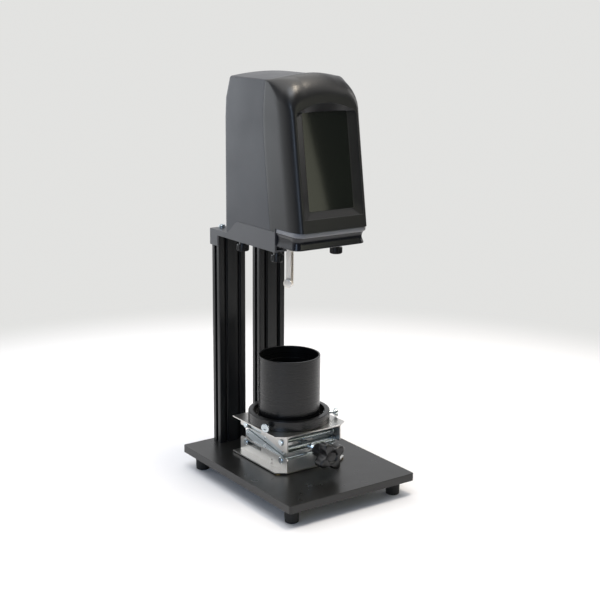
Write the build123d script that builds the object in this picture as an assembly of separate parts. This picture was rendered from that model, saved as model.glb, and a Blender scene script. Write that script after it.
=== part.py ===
from build123d import *
from math import asin, atan2, cos, degrees, hypot, radians, sin, sqrt
import os

os.makedirs("parts", exist_ok=True)

# Rotational viscometer on a two-post stand with a scissor lifting table.
# Millimetres. +Z is up, the screen faces -Y, z = 0 is the table under the feet.

# ---- stand ----
base_w = 189.0
base_d = 249.0
base_t = 10.0
base_corner_r = 3.0
base_edge = 0.9
foot_h = 20.0
foot_r = 9.0
foot_inset_x = 17.0
foot_inset_y = 21.0
foot_recess_r = 5.0
foot_recess_h = 13.0
foot_screw_r = 2.0
foot_screw_head_r = 3.8
foot_screw_head_h = 2.6
foot_screw_bite = 7.0
post_w = 40.0
post_d = 18.0
post_len = 286.5
post_gap = 22.0
post_back_inset = 6.0
post_corner_r = 1.2
slot_w = 5.2
slot_lip = 1.8
slot_cavity_w = 8.0
slot_cavity_d = 3.0
post_bore_r = 2.1
post_bore_pitch = 20.0
post_screw_r = 2.0
post_screw_bite = 16.0
post_screw_head_r = 4.2
post_screw_head_h = 4.5

# ---- bracket that carries the head ----
plate_t = 2.5
side_gap = 0.1
arm_drop = 7.0
arm_rise = 18.0
arm_reach = 149.0
arm_flange_w = 15.0
arm_curve_start = 68.5
arm_curve_end = 37.5
tab_drop = 21.0
shelf_d = 36.0

# ---- head base casting ----
head_w = 107.0
head_d = 160.2
head_back_gap = 37.5
rear_y = base_d / 2 - post_back_inset - head_back_gap
front_y = rear_y - head_d
spindle_y = rear_y - 65.8
boss_r = 7.0
boss_h = 5.0
floor_t = 4.0
tub_wall = 4.0
tub_depth = 18.0
tub_front_y = front_y + 13.2
tub_corner_r = 12.0
chin_inset = 6.5
chin_side_inset = 1.2
chin_corner_r = 9.0
rim_t = 4.0
lip_t = 2.0
lip_back = 1.0
rim_inset = 0.8
rim_corner_r = 14.0
column = 12.0
spindle_hole_r = 7.0

# ---- covers ----
cover_wall = 2.5
front_wall = 5.0
lean = 0.15
cover_h = 178.5
rear_crown = 4.5
crown = 5.0
front_bulge = 5.5
section_depths = [0, 0.5, 2, 4.5, 8, 12.5, 18, 24.5, 32, 36, 44, 76]
rear_bend_h = 128.0
rear_bend_y = 19.0
seam_low_y = rear_y - 100.5
seam_bend_y = rear_y - 87.5
seam_bend_h = 100.5
seam_top_y = rear_y - 93.0
seam_gap = 0.2
side_round = 9.0
side_round_depth = 25.0
top_round = 28.0
top_round_depth = 36.0
shoulder_r = 27.0
shoulder_min_r = 2.5
shoulder_end = 42.0
shoulder_start = 16.0
cover_boss = 9.0
cover_boss_h = 16.0
case_screw_r = 1.5
case_screw_head_r = 2.8
case_screw_head_h = 2.4
vent_count = 6
vent_w = 46.0
vent_h = 2.6
vent_pitch = 7.0

# ---- screen ----
opening_w = 85.0
opening_low = 15.1
opening_side_top = cover_h - 39.0
opening_arch_top = cover_h - 31.5
opening_corner_r = 8.0
window_w = 64.7
window_low = 23.2
window_h = cover_h - 65.1
window_corner_r = 1.5
glass_t = 1.5
glass_lap = 4.0
display_lap = 6.0
display_t = 7.5
board_t = 1.6
board_gap = 6.0
spacer_r = 2.5

# ---- drive train ----
shaft_r = 3.0
bearing_r = 9.5
bearing_w = 6.0
bearing_gap = 24.0
housing_wall = 3.5
shoulder_w = 2.0
running_gap = 0.05
fit_gap = 0.02
standoff_r = 3.5
standoff_x = 26.0
standoff_y = 21.0
bridge_h = 108.0
bridge_t = 3.0
bridge_margin = 7.0
bridge_bore_r = 9.0
bridge_screw_head_r = 2.8
bridge_screw_head_h = 2.0
bridge_screw_r = 1.4
bridge_screw_bite = 7.0
motor_w = 35.0
motor_h = 36.0
motor_bore_r = 3.2
coupling_r = 7.0
coupling_h = 18.0
coupling_top_gap = 9.0
disc_r = 20.0
disc_t = 1.2
spring_pitch = 1.8
spring_strip = 0.7
spring_h = 3.0
spring_turns = 5
spring_hub_r = 5.0
spring_hub_h = 12.0
sensor_w = 12.0
sensor_slot_gap = 0.8
link_hub_r = 8.0
link_hub_h = 3.0
link_cone_h = 3.5
link_w = 7.0
link_wall = 1.2
link_drop = 60.4
link_len = 46.9
link_turn = 28.0
link_screw_rise = 3.6
link_screw_r = 1.5
link_screw_head_r = 5.8
link_screw_head_t = 3.2

# ---- clamp knobs under the head ----
knob_x = 44.0
knob_front_inset = 8.5
knob_rear_inset = 63.5
knob_r = 7.9
knob_h = 8.5
knob_neck_r = 4.9
knob_neck_h = 4.2
knob_stud_r = 2.5
knob_stud_bite = 6.5
knob_grooves = 18
knob_groove_r = 0.6

# ---- rear panel ----
panel_h = 24.0
inlet_w = 27.0
inlet_h = 20.0
inlet_depth = 19.0
inlet_flange = 3.0
inlet_flange_t = 2.0
inlet_wall = 2.0
inlet_pin_pitch = 7.0
switch_w = 13.0
switch_h = 19.0
switch_depth = 16.0
switch_wall = 1.5
rocker_r = 10.0
rocker_tilt = 8.0
rocker_gap = 0.35
rocker_pin_r = 1.2
rocker_pin_bite = 0.9
port_w = 18.0
port_h = 10.0
port_depth = 10.0
port_wall = 1.2
panel_fit = 0.2
panel_space = 3.0
power_board_w = 80.0
power_board_h = 76.0
power_board_low = 48.0
power_board_gap = 5.0
transformer_w = 34.0
transformer_h = 28.0
transformer_d = 20.0

# ---- lifting table ----
jack_y = spindle_y - 2.7
jack_w = 107.0
jack_d = 107.0
jack_clip_x = 12.0
jack_clip_y = 8.5
jack_sheet = 1.5
jack_foot_t = 1.2
jack_foot_r = 3.5
jack_foot_inset_x = 5.0
jack_foot_inset_y = 9.0
flange_inset = 12.2
base_flange_h = 18.8
top_flange_h = 14.3
flange_hole_back = 19.5
ear_h = 20.3
ear_run = 22.0
ear_slope = 24.0
pivot_front_inset = 13.0
pivot_run = 80.0
pivot_rise = 14.3
pivot_stack = 23.5
pivot_to_top = 10.8
arm_w = 10.0
arm_t = 2.0
arm_plane_gap = 0.4
rod_r = 2.5
rod_head_r = 4.2
rod_head_t = 2.0
slide_gap = 0.3
lift_max_deg = 41.5
slot_spare = 4.0
bar_r = 5.0
lead_r = 3.0
lead_tail = 10.0
lead_collar_r = 4.6
lead_collar_t = 3.0
lead_to_knob = 19.0
jack_knob_hub_r = 8.5
jack_knob_hub_l = 19.0
jack_knob_lobe_r = 8.0
jack_knob_lobe_reach = 12.0
jack_knob_l = 15.0
jack_knob_lobes = 4
jack_knob_turn = 28.0

# ---- cup and ring ----
ring_r = 52.4
ring_wall = 6.6
ring_h = 13.2
ring_chamfer = 1.0
ring_screw_angles = {"left": 207.0, "right": 333.0, "rear": 90.0}
ring_screw_r = 2.0
ring_screw_rise = 6.4
ring_screw_nose = 1.4
ring_screw_out = 5.5
ring_screw_head_r = 5.8
ring_screw_head_t = 4.0
ring_screw_neck_r = 3.2
ring_screw_neck_t = 1.5
cup_r = 39.6
cup_wall = 2.0
cup_floor = 3.0
cup_h = 86.7
sample_gap = 3.6
sample_wall = 1.5
sample_floor = 2.0
sample_below_rim = 14.0

# ---- places that follow from the sizes ----
base_top = foot_h + base_t
post_top = base_top + post_len
shelf_top = post_top + plate_t
arm_bottom = shelf_top - arm_drop
arm_top = shelf_top + arm_rise
seat_z = arm_bottom + plate_t
casting_z = seat_z + boss_h
tub_top = casting_z + tub_depth
deck_z = tub_top + rim_t
post_x = post_gap / 2 + post_w / 2
post_outer_x = post_gap / 2 + post_w
post_y = base_d / 2 - post_back_inset - post_d / 2
post_back_y = post_y + post_d / 2
arm_inner_x = post_outer_x + side_gap
arm_outer_x = arm_inner_x + plate_t
tub_half_w = arm_inner_x - side_gap * 5
head_half_w = head_w / 2
tub_rear_y = rear_y - cover_wall
screw_column_x = tub_half_w - tub_wall - column / 2 + 1.5
screw_column_ys = (tub_front_y + tub_wall + column / 2 + 2.5, tub_rear_y - tub_wall - column / 2)
inlet_x = cover_boss / 2 + inlet_w / 2 + panel_space - screw_column_x
switch_x = inlet_x + inlet_w / 2 + inlet_flange + panel_space + 1.6 + switch_w / 2
port_x = switch_x + switch_w / 2 + 1.6 + panel_space + port_w / 2
arm_front_y = post_back_y - arm_reach
knob_front_y = arm_front_y + knob_front_inset
knob_rear_y = post_back_y - knob_rear_inset
foot_x = base_w / 2 - foot_inset_x
foot_y = base_d / 2 - foot_inset_y

jack_base_z = base_top + jack_foot_t
pivot_z = jack_base_z + pivot_rise
half_rise = pivot_stack / 2
mid_z = pivot_z + half_rise
top_pivot_z = pivot_z + pivot_stack
table_z = top_pivot_z + pivot_to_top
jack_front_y = jack_y - jack_d / 2
jack_rear_y = jack_y + jack_d / 2
pivot_front_y = jack_front_y + pivot_front_inset
pivot_rear_y = pivot_front_y + pivot_run
arm_len = hypot(pivot_run, half_rise)
arm_angle = degrees(asin(half_rise / arm_len))
slide_travel = pivot_run - arm_len * cos(radians(arm_angle + lift_max_deg))
flange_x = jack_w / 2 - flange_inset
outer_plane = flange_x - jack_sheet - arm_plane_gap - arm_t
inner_plane = outer_plane - arm_plane_gap - arm_t
screw_z = table_z + ring_screw_rise


def block(x0, x1, y0, y1, z0, z1):
    middle = Pos((x0 + x1) / 2, (y0 + y1) / 2, (z0 + z1) / 2)
    return middle * Box(x1 - x0, y1 - y0, z1 - z0)


def rod_x(radius, x0, x1, y, z):
    return Pos((x0 + x1) / 2, y, z) * Rot(0, 90, 0) * Cylinder(radius, x1 - x0)


def rod_y(radius, x, y0, y1, z):
    return Pos(x, (y0 + y1) / 2, z) * Rot(90, 0, 0) * Cylinder(radius, y1 - y0)


def rod_z(radius, x, y, z0, z1):
    return Pos(x, y, (z0 + z1) / 2) * Cylinder(radius, z1 - z0)


def cone_z(low_r, high_r, x, y, z0, z1):
    return Pos(x, y, (z0 + z1) / 2) * Cone(low_r, high_r, z1 - z0)


def side_profile(edges, x0, x1):
    """Extrude a closed outline drawn in the plane x = x0 along X."""
    return extrude(make_face(Wire(edges)), amount=x1 - x0, dir=(1, 0, 0))


def side_plate(points, x0, x1):
    outline = Polyline(*[(x0, y, z) for y, z in points], close=True)
    return extrude(make_face(outline), amount=x1 - x0, dir=(1, 0, 0))


def mirrored(shape):
    return [shape, shape.mirror(Plane.YZ)]


def add_all(first, others):
    for other in others:
        first = first + other
    return first


def cut_all(first, others):
    for other in others:
        first = first - other
    return first


def corners(x, y):
    return [(-x, -y), (x, -y), (-x, y), (x, y)]


# ---------------------------------------------------------------- stand
def post_screw_places():
    half = post_bore_pitch / 2
    return [(side * post_x + step, post_y) for side in (-1, 1) for step in (-half, half)]


def base_plate():
    plate = block(-base_w / 2, base_w / 2, -base_d / 2, base_d / 2, foot_h, base_top)
    plate = fillet(plate.edges().filter_by(Axis.Z), base_corner_r)
    plate = chamfer(plate.faces().sort_by(Axis.Z)[-1].edges(), base_edge)
    cuts = []
    for x, y in corners(foot_x, foot_y):
        cuts.append(rod_z(foot_screw_r + fit_gap, x, y, foot_h, foot_h + foot_screw_bite))
    for x, y in post_screw_places():
        cuts.append(rod_z(post_screw_r + side_gap, x, y, foot_h, base_top))
        sink = foot_h + post_screw_head_h
        cuts.append(rod_z(post_screw_head_r + side_gap, x, y, foot_h, sink))
    return cut_all(plate, cuts)


def rubber_foot(x, y):
    foot = cone_z(foot_r * 0.94, foot_r, x, y, 0, foot_h)
    foot = foot - rod_z(foot_recess_r, x, y, 0, foot_recess_h)
    return foot - rod_z(foot_screw_r + fit_gap, x, y, foot_recess_h, foot_h)


def rubber_feet():
    return [rubber_foot(x, y) for x, y in corners(foot_x, foot_y)]


def foot_screws():
    screws = []
    for x, y in corners(foot_x, foot_y):
        head_z = foot_recess_h - foot_screw_head_h
        head = rod_z(foot_screw_head_r, x, y, head_z, foot_recess_h)
        screws.append(head + rod_z(foot_screw_r, x, y, head_z, foot_h + foot_screw_bite - side_gap))
    return screws


def slot_cuts(x, y, direction_x, direction_y):
    """One T-slot that opens at (x, y) and runs into the post along the given direction."""
    z0, z1 = base_top, post_top
    depth = slot_lip + slot_cavity_d
    half, wide = slot_w / 2, slot_cavity_w / 2
    if direction_y:
        near = sorted((y, y + direction_y * depth))
        deep = sorted((y + direction_y * slot_lip, y + direction_y * depth))
        return [block(x - half, x + half, *near, z0, z1), block(x - wide, x + wide, *deep, z0, z1)]
    near = sorted((x, x + direction_x * depth))
    deep = sorted((x + direction_x * slot_lip, x + direction_x * depth))
    return [block(*near, y - half, y + half, z0, z1), block(*deep, y - wide, y + wide, z0, z1)]


def post(side):
    x = side * post_x
    body = block(x - post_w / 2, x + post_w / 2, post_y - post_d / 2, post_back_y, base_top, post_top)
    body = fillet(body.edges().filter_by(Axis.Z), post_corner_r)
    cuts = slot_cuts(x - post_w / 2, post_y, 1, 0) + slot_cuts(x + post_w / 2, post_y, -1, 0)
    for step in (-post_bore_pitch / 2, post_bore_pitch / 2):
        cuts += slot_cuts(x + step, post_y - post_d / 2, 0, 1)
        cuts += slot_cuts(x + step, post_back_y, 0, -1)
        cuts.append(rod_z(post_bore_r, x + step, post_y, base_top, post_top))
    return cut_all(body, cuts)


def left_post():
    return post(-1)


def right_post():
    return post(1)


def post_screws():
    screws = []
    for x, y in post_screw_places():
        low_head = foot_h + post_screw_head_h
        shank = rod_z(post_screw_r, x, y, foot_h + side_gap, base_top + post_screw_bite)
        screws.append(shank + rod_z(post_screw_head_r, x, y, foot_h + side_gap, low_head))
        high_head = shelf_top + post_screw_head_h
        shank = rod_z(post_screw_r, x, y, post_top - post_screw_bite, high_head)
        socket = rod_z(post_screw_r, x, y, high_head - post_screw_head_h / 2, high_head)
        screws.append(shank + rod_z(post_screw_head_r, x, y, shelf_top, high_head) - socket)
    return screws


# ---------------------------------------------------------------- bracket
def arm_side(x0, x1):
    """Side plate: low over the posts, stepping up in an S-curve to the head's rim."""
    front = arm_front_y
    curve_high = post_back_y - arm_curve_start
    curve_low = post_back_y - arm_curve_end
    half_y = (curve_high + curve_low) / 2
    half_z = (arm_top + shelf_top) / 2
    post_front = post_back_y - post_d
    tab_z = shelf_top - tab_drop
    upper = TangentArc((x0, curve_high, arm_top), (x0, half_y, half_z), tangent=(0, 1, 0))
    lower = TangentArc((x0, half_y, half_z), (x0, curve_low, shelf_top), tangent=upper % 1)
    rest = Polyline(
        (x0, curve_low, shelf_top),
        (x0, post_back_y, shelf_top),
        (x0, post_back_y, tab_z),
        (x0, post_front, tab_z),
        (x0, post_front, arm_bottom),
        (x0, front, arm_bottom),
        (x0, front, arm_top),
        (x0, curve_high, arm_top),
    )
    return side_profile([upper, lower] + rest.edges(), x0, x1)


def head_bracket():
    front = arm_front_y
    shelf_front = post_back_y - shelf_d
    shelf = block(-arm_outer_x, arm_outer_x, shelf_front, post_back_y, post_top, shelf_top)
    pieces = []
    for side in (-1, 1):
        x0, x1 = sorted((side * arm_inner_x, side * arm_outer_x))
        pieces.append(arm_side(x0, x1))
        x2, x3 = sorted((side * arm_inner_x, side * (arm_inner_x - arm_flange_w)))
        pieces.append(block(x2, x3, front, shelf_front + 2, arm_bottom, seat_z))
    bracket = add_all(shelf, pieces)
    cuts = [rod_z(post_screw_r + side_gap, x, y, post_top, shelf_top) for x, y in post_screw_places()]
    for x, y in knob_places():
        cuts.append(rod_z(knob_stud_r + 0.3, x, y, arm_bottom, seat_z))
    return cut_all(bracket, cuts)


def knob_places():
    return [(side * knob_x, y) for y in (knob_front_y, knob_rear_y) for side in (-1, 1)]


def clamp_knob(x, y):
    top = arm_bottom - 0.3
    neck_z = top - knob_neck_h
    head = rod_z(knob_r, x, y, neck_z - knob_h, neck_z)
    head = chamfer(head.edges(), 0.8)
    step = 360 / knob_grooves
    cuts = []
    for index in range(knob_grooves):
        angle = radians(index * step)
        gx, gy = x + knob_r * cos(angle), y + knob_r * sin(angle)
        cuts.append(rod_z(knob_groove_r, gx, gy, neck_z - knob_h, neck_z))
    head = cut_all(head, cuts)
    stud = rod_z(knob_stud_r, x, y, neck_z, seat_z + knob_stud_bite)
    return head + rod_z(knob_neck_r, x, y, neck_z, top) + stud


# ---------------------------------------------------------------- head base
def head_base():
    half = tub_half_w
    tub = block(-half, half, tub_front_y, tub_rear_y, casting_z, tub_top)
    front_edges = tub.edges().filter_by(Axis.Z).sort_by(Axis.Y)[:2]
    tub = fillet(front_edges, tub_corner_r)
    rim_half = head_half_w - rim_inset
    rim_front = front_y + rim_inset
    rim = block(-rim_half, rim_half, rim_front, rear_y - rim_inset, tub_top, deck_z)
    rim = fillet(rim.edges().filter_by(Axis.Z).sort_by(Axis.Y)[:2], rim_corner_r)
    lip_rear = arm_front_y - lip_back
    lip = block(-rim_half, rim_half, rim_front, lip_rear, tub_top - lip_t, tub_top)
    lip = fillet(lip.edges().filter_by(Axis.Z).sort_by(Axis.Y)[:2], rim_corner_r)
    chin_half = head_half_w - chin_side_inset
    chin = block(-chin_half, chin_half, front_y + chin_inset, lip_rear, casting_z, tub_top)
    chin = fillet(chin.edges().filter_by(Axis.Z).sort_by(Axis.Y)[:2], chin_corner_r)
    casting = tub + rim + lip + chin
    wall = tub_wall
    pocket = block(
        -half + wall, half - wall, tub_front_y + wall, tub_rear_y - wall, casting_z + floor_t, deck_z
    )
    pocket = fillet(pocket.edges().filter_by(Axis.Z), tub_corner_r - wall)
    casting = casting - pocket
    for side in (-1, 1):
        x0, x1 = sorted((side * (half - wall / 2), side * (screw_column_x - column / 2)))
        for y in screw_column_ys:
            casting = casting + block(x0, x1, y - column / 2, y + column / 2, casting_z, deck_z)
    casting = add_all(casting, [rod_z(boss_r, x, y, seat_z, casting_z) for x, y in knob_places()])
    cuts = [rod_z(spindle_hole_r, 0, spindle_y, casting_z, casting_z + floor_t)]
    for x, y in knob_places():
        cuts.append(rod_z(knob_stud_r + running_gap, x, y, seat_z, seat_z + knob_stud_bite + 1))
    for side in (-1, 1):
        for y in screw_column_ys:
            x = side * screw_column_x
            cuts.append(rod_z(case_screw_r + side_gap, x, y, casting_z, deck_z))
            cuts.append(rod_z(case_screw_head_r + side_gap, x, y, casting_z, tub_top - rim_t))
    return cut_all(casting, cuts)


def case_screws():
    screws = []
    for side in (-1, 1):
        for y in screw_column_ys:
            x = side * screw_column_x
            seat = tub_top - rim_t
            head = rod_z(case_screw_head_r, x, y, seat - case_screw_head_h, seat)
            tip = deck_z + cover_boss_h - 4
            screws.append(head + rod_z(case_screw_r, x, y, seat - case_screw_head_h, tip))
    return screws


# ---------------------------------------------------------------- covers
def seam_region(shift, rearward):
    """Everything behind (or ahead of) the seam that parts the two covers, moved by shift in Y."""
    x0 = -head_w
    low = (x0, seam_low_y + shift, deck_z)
    bend = (x0, seam_bend_y + shift, deck_z + seam_bend_h)
    top = (x0, seam_top_y + shift, deck_z + cover_h + crown)
    line = Line(low, bend)
    arc = TangentArc(bend, top, tangent=line % 1)
    far = head_w * 1.5 if rearward else -head_w * 1.5
    closing = Polyline(top, (x0, far, top[2]), (x0, far, deck_z), low)
    return side_profile([line, arc] + closing.edges(), x0, head_w)


def rear_block(inset):
    """The rear cover's outside, or its inside when inset is the wall."""
    y = rear_y - inset
    bend_z = deck_z + rear_bend_h
    top_z = deck_z + cover_h + crown
    x0 = -head_half_w + inset
    bend = TangentArc((x0, y, bend_z), (x0, y - rear_bend_y, top_z), tangent=(0, 0, 1))
    low = deck_z - (1 if inset else 0)
    rest = Polyline(
        (x0, y - rear_bend_y, top_z),
        (x0, front_y, top_z),
        (x0, front_y, low),
        (x0, y, low),
        (x0, y, bend_z),
    )
    body = side_profile([bend] + rest.edges(), x0, -x0)
    side_z = deck_z + cover_h - crown - inset
    y0 = front_y - 1
    roof = ThreePointArc((x0, y0, side_z), (0, y0, side_z + rear_crown), (-x0, y0, side_z))
    walls = Polyline((-x0, y0, side_z), (-x0, y0, low), (x0, y0, low), (x0, y0, side_z))
    arch = extrude(make_face(Wire([roof] + walls.edges())), amount=rear_y - y0 + 1, dir=(0, 1, 0))
    return body & arch


def cover_boss_block(side, y):
    x0, x1 = sorted((side * (head_half_w - cover_wall / 2), side * (screw_column_x - cover_boss / 2)))
    boss = block(x0, x1, y - cover_boss / 2, y + cover_boss / 2, deck_z, deck_z + cover_boss_h)
    return boss - rod_z(case_screw_r + fit_gap, side * screw_column_x, y, deck_z, deck_z + cover_boss_h - 3)


def rear_cover():
    shell = (rear_block(0) - rear_block(cover_wall)) & seam_region(0, True)
    shell = add_all(shell, [cover_boss_block(side, screw_column_ys[1]) for side in (-1, 1)])
    wall_y = (rear_y - cover_wall - 1, rear_y + 1)
    z = deck_z + panel_h
    cuts = []
    for x, w, h in ((inlet_x, inlet_w, inlet_h), (switch_x, switch_w, switch_h), (port_x, port_w, port_h)):
        half_w, half_h = w / 2 + panel_fit, h / 2 + panel_fit
        cuts.append(block(x - half_w, x + half_w, *wall_y, z - half_h, z + half_h))
    for index in range(vent_count):
        low = deck_z + rear_bend_h - 4 - (index + 1) * vent_pitch
        cuts.append(block(-vent_w / 2, vent_w / 2, *wall_y, low, low + vent_h))
    return cut_all(shell, cuts)


def front_plane(depth):
    """Plane parallel to the screen, depth behind the front face; its Y runs up the face."""
    return Plane(origin=(0, front_y + depth, deck_z), x_dir=(1, 0, 0), z_dir=(0, -1, lean))


def up_face(height):
    return height * sqrt(1 + lean * lean)


def rounding(size, depth, run):
    """How far an elliptical edge of the given size has come in at this depth behind the face."""
    if depth >= run:
        return 0.0
    return size * (1 - sqrt(1 - (1 - depth / run) ** 2))


def front_section(depth, inset, setback):
    """Arched outline of the front cover at one depth behind its face."""
    into = depth - setback
    half = head_half_w - inset - rounding(side_round, into, side_round_depth)
    share = min(1.0, max(0.0, (shoulder_end - into) / (shoulder_end - shoulder_start)))
    smooth = share * share * (3 - 2 * share)
    radius = shoulder_min_r + (shoulder_r - shoulder_min_r) * smooth
    radius = radius - rounding(side_round, into, side_round_depth)
    peak = cover_h - crown + rear_crown + front_bulge * smooth
    peak = peak - rounding(top_round, into, top_round_depth) - inset
    side_top = up_face(peak - rear_crown)
    low = up_face(-12)
    plane = front_plane(depth)
    lean_in = radius * (1 - sqrt(0.5))
    right = [
        (half, low),
        (half, side_top - radius),
        (half - lean_in, side_top - lean_in),
        (half - radius, side_top),
    ]
    left = [(-x, y) for x, y in reversed(right)]
    edges = [
        Line(right[0], right[1]),
        ThreePointArc(*right[1:4]),
        ThreePointArc(right[3], (0, up_face(peak)), left[0]),
        ThreePointArc(*left[0:3]),
        Line(left[2], left[3]),
        Line(left[3], right[0]),
    ]
    return plane * make_face(Wire(edges))


def front_block(inset, setback):
    sections = [front_section(depth + setback, inset, setback) for depth in section_depths]
    return loft(sections, ruled=True)


def recess_section(share):
    """Screen recess outline: share 0 is the opening in the face, 1 is the window behind it."""
    half = (opening_w + (window_w - opening_w) * share) / 2
    low = opening_low + (window_low - opening_low) * share
    side_top = opening_side_top + (window_low + window_h - opening_side_top) * share
    arch_top = opening_arch_top + (window_low + window_h + 0.5 - opening_arch_top) * share
    radius = max(window_corner_r, opening_corner_r + (window_corner_r - opening_corner_r) * share)
    z0, z1, z2 = up_face(low), up_face(side_top), up_face(arch_top)
    lean_in = radius * (1 - sqrt(0.5))
    edges = [
        Line((-half, z0), (half, z0)),
        Line((half, z0), (half, z1 - radius)),
        ThreePointArc((half, z1 - radius), (half - lean_in, z1 - lean_in), (half - radius, z1)),
        ThreePointArc((half - radius, z1), (0, z2), (radius - half, z1)),
        ThreePointArc((radius - half, z1), (lean_in - half, z1 - lean_in), (-half, z1 - radius)),
        Line((-half, z1 - radius), (-half, z0)),
    ]
    return front_plane(share * front_wall) * make_face(Wire(edges))


def front_cover():
    shell = front_block(0, 0) - front_block(cover_wall, front_wall)
    shell = shell & seam_region(-seam_gap, False)
    shell = add_all(shell, [cover_boss_block(side, screw_column_ys[0]) for side in (-1, 1)])
    return shell - loft([recess_section(-0.2), recess_section(1.2)])


def leaned_block(half_w, low, high, depth0, depth1):
    plane = front_plane(depth0)
    thick = (depth1 - depth0) / sqrt(1 + lean * lean)
    size_up = up_face(high - low)
    return plane * Pos(0, up_face((low + high) / 2), -thick / 2) * Box(half_w * 2, size_up, thick)


def touch_screen():
    low, high = window_low - glass_lap, window_low + window_h + glass_lap
    return leaned_block(window_w / 2 + glass_lap, low, high, front_wall, front_wall + glass_t)


def display_panel():
    low, high = window_low - display_lap, window_low + window_h + display_lap
    start = front_wall + glass_t
    return leaned_block(window_w / 2 + display_lap, low, high, start, start + display_t)


def main_board():
    low, high = window_low - 2, window_low + window_h + 2
    half = window_w / 2 + 2
    start = front_wall + glass_t + display_t
    board = leaned_block(half, low, high, start + board_gap, start + board_gap + board_t)
    plane = front_plane(start)
    for x, y in corners(half - 6, up_face(window_h) / 2 - 6):
        centre = up_face(window_low + window_h / 2) + y
        board = board + plane * Pos(x, centre, -board_gap / 2) * Cylinder(spacer_r, board_gap)
    chip_start = start + board_gap + board_t
    for chip_w, start, end, chip_t in ((9, 0.35, 0.5, 2), (16, 0.67, 0.77, 3)):
        chip_low, chip_high = window_low + window_h * start, window_low + window_h * end
        board = board + leaned_block(chip_w, chip_low, chip_high, chip_start, chip_start + chip_t)
    return board


# ---------------------------------------------------------------- drive train
housing_z = casting_z + floor_t
upper_bearing_z = housing_z + bearing_w + bearing_gap
housing_top = upper_bearing_z + bearing_w
bridge_z = housing_z + bridge_h
coupling_z = bridge_z - coupling_top_gap - coupling_h
disc_z = coupling_z + coupling_h
spring_hub_z = coupling_z - spring_h - 1 - spring_hub_h
spring_z = spring_hub_z + spring_hub_h
link_top = post_top - link_drop + link_len + link_cone_h


def bearing_housing():
    outer = rod_z(bearing_r + housing_wall, 0, spindle_y, housing_z, housing_top)
    bore = rod_z(bearing_r - shoulder_w, 0, spindle_y, housing_z, housing_top)
    low = rod_z(bearing_r + fit_gap, 0, spindle_y, housing_z, housing_z + bearing_w)
    high = rod_z(bearing_r + fit_gap, 0, spindle_y, upper_bearing_z, housing_top)
    return outer - bore - low - high


def spindle_bearings():
    rings = []
    for z in (housing_z, upper_bearing_z):
        ring = rod_z(bearing_r, 0, spindle_y, z, z + bearing_w)
        rings.append(ring - rod_z(shaft_r + running_gap, 0, spindle_y, z, z + bearing_w))
    return rings


def standoff_places():
    return [(x, spindle_y + y) for x, y in corners(standoff_x, standoff_y)]


def bridge_standoffs():
    pillars = []
    for x, y in standoff_places():
        pillar = rod_z(standoff_r, x, y, housing_z, bridge_z)
        hole_low = bridge_z - bridge_screw_bite - side_gap
        pillars.append(pillar - rod_z(bridge_screw_r + fit_gap, x, y, hole_low, bridge_z))
    return pillars


def motor_bridge():
    half_x, half_y = standoff_x + bridge_margin, standoff_y + bridge_margin
    plate = block(-half_x, half_x, spindle_y - half_y, spindle_y + half_y, bridge_z, bridge_z + bridge_t)
    plate = fillet(plate.edges().filter_by(Axis.Z), bridge_margin / 2)
    cuts = [rod_z(bridge_bore_r, 0, spindle_y, bridge_z, bridge_z + bridge_t)]
    for x, y in standoff_places():
        cuts.append(rod_z(bridge_screw_r + side_gap, x, y, bridge_z, bridge_z + bridge_t))
    return cut_all(plate, cuts)


def bridge_screws():
    screws = []
    for x, y in standoff_places():
        top = bridge_z + bridge_t
        head = rod_z(bridge_screw_head_r, x, y, top, top + bridge_screw_head_h)
        screws.append(head + rod_z(bridge_screw_r, x, y, bridge_z - bridge_screw_bite, top))
    return screws


def drive_motor():
    z = bridge_z + bridge_t
    half = motor_w / 2
    body = block(-half, half, spindle_y - half, spindle_y + half, z, z + motor_h)
    body = chamfer(body.edges().filter_by(Axis.Z), 3)
    pilot = rod_z(bridge_bore_r - side_gap, 0, spindle_y, z - bridge_t / 2, z)
    bore = rod_z(motor_bore_r, 0, spindle_y, z - bridge_t, z + motor_h / 2)
    return body + pilot - bore


def encoder_sensor():
    slot_z = disc_z - sensor_slot_gap
    low = slot_z - 4
    x0, x1 = disc_r - 6, disc_r + 3
    body = block(x0, x1, spindle_y - sensor_w / 2, spindle_y + sensor_w / 2, low, bridge_z)
    slot_top = disc_z + disc_t + sensor_slot_gap
    return body - block(x0 - 1, disc_r + 1, spindle_y - sensor_w, spindle_y + sensor_w, slot_z, slot_top)


def drive_coupling():
    """Motor shaft and the upper coupling half that carries the encoder disc."""
    shaft_top = bridge_z + bridge_t + motor_h / 2 - 2
    hub = rod_z(coupling_r, 0, spindle_y, coupling_z, disc_z)
    return hub + rod_z(shaft_r, 0, spindle_y, disc_z, shaft_top)


def encoder_disc():
    disc = rod_z(disc_r, 0, spindle_y, disc_z, disc_z + disc_t)
    return disc - rod_z(shaft_r + fit_gap, 0, spindle_y, disc_z, disc_z + disc_t)


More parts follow.
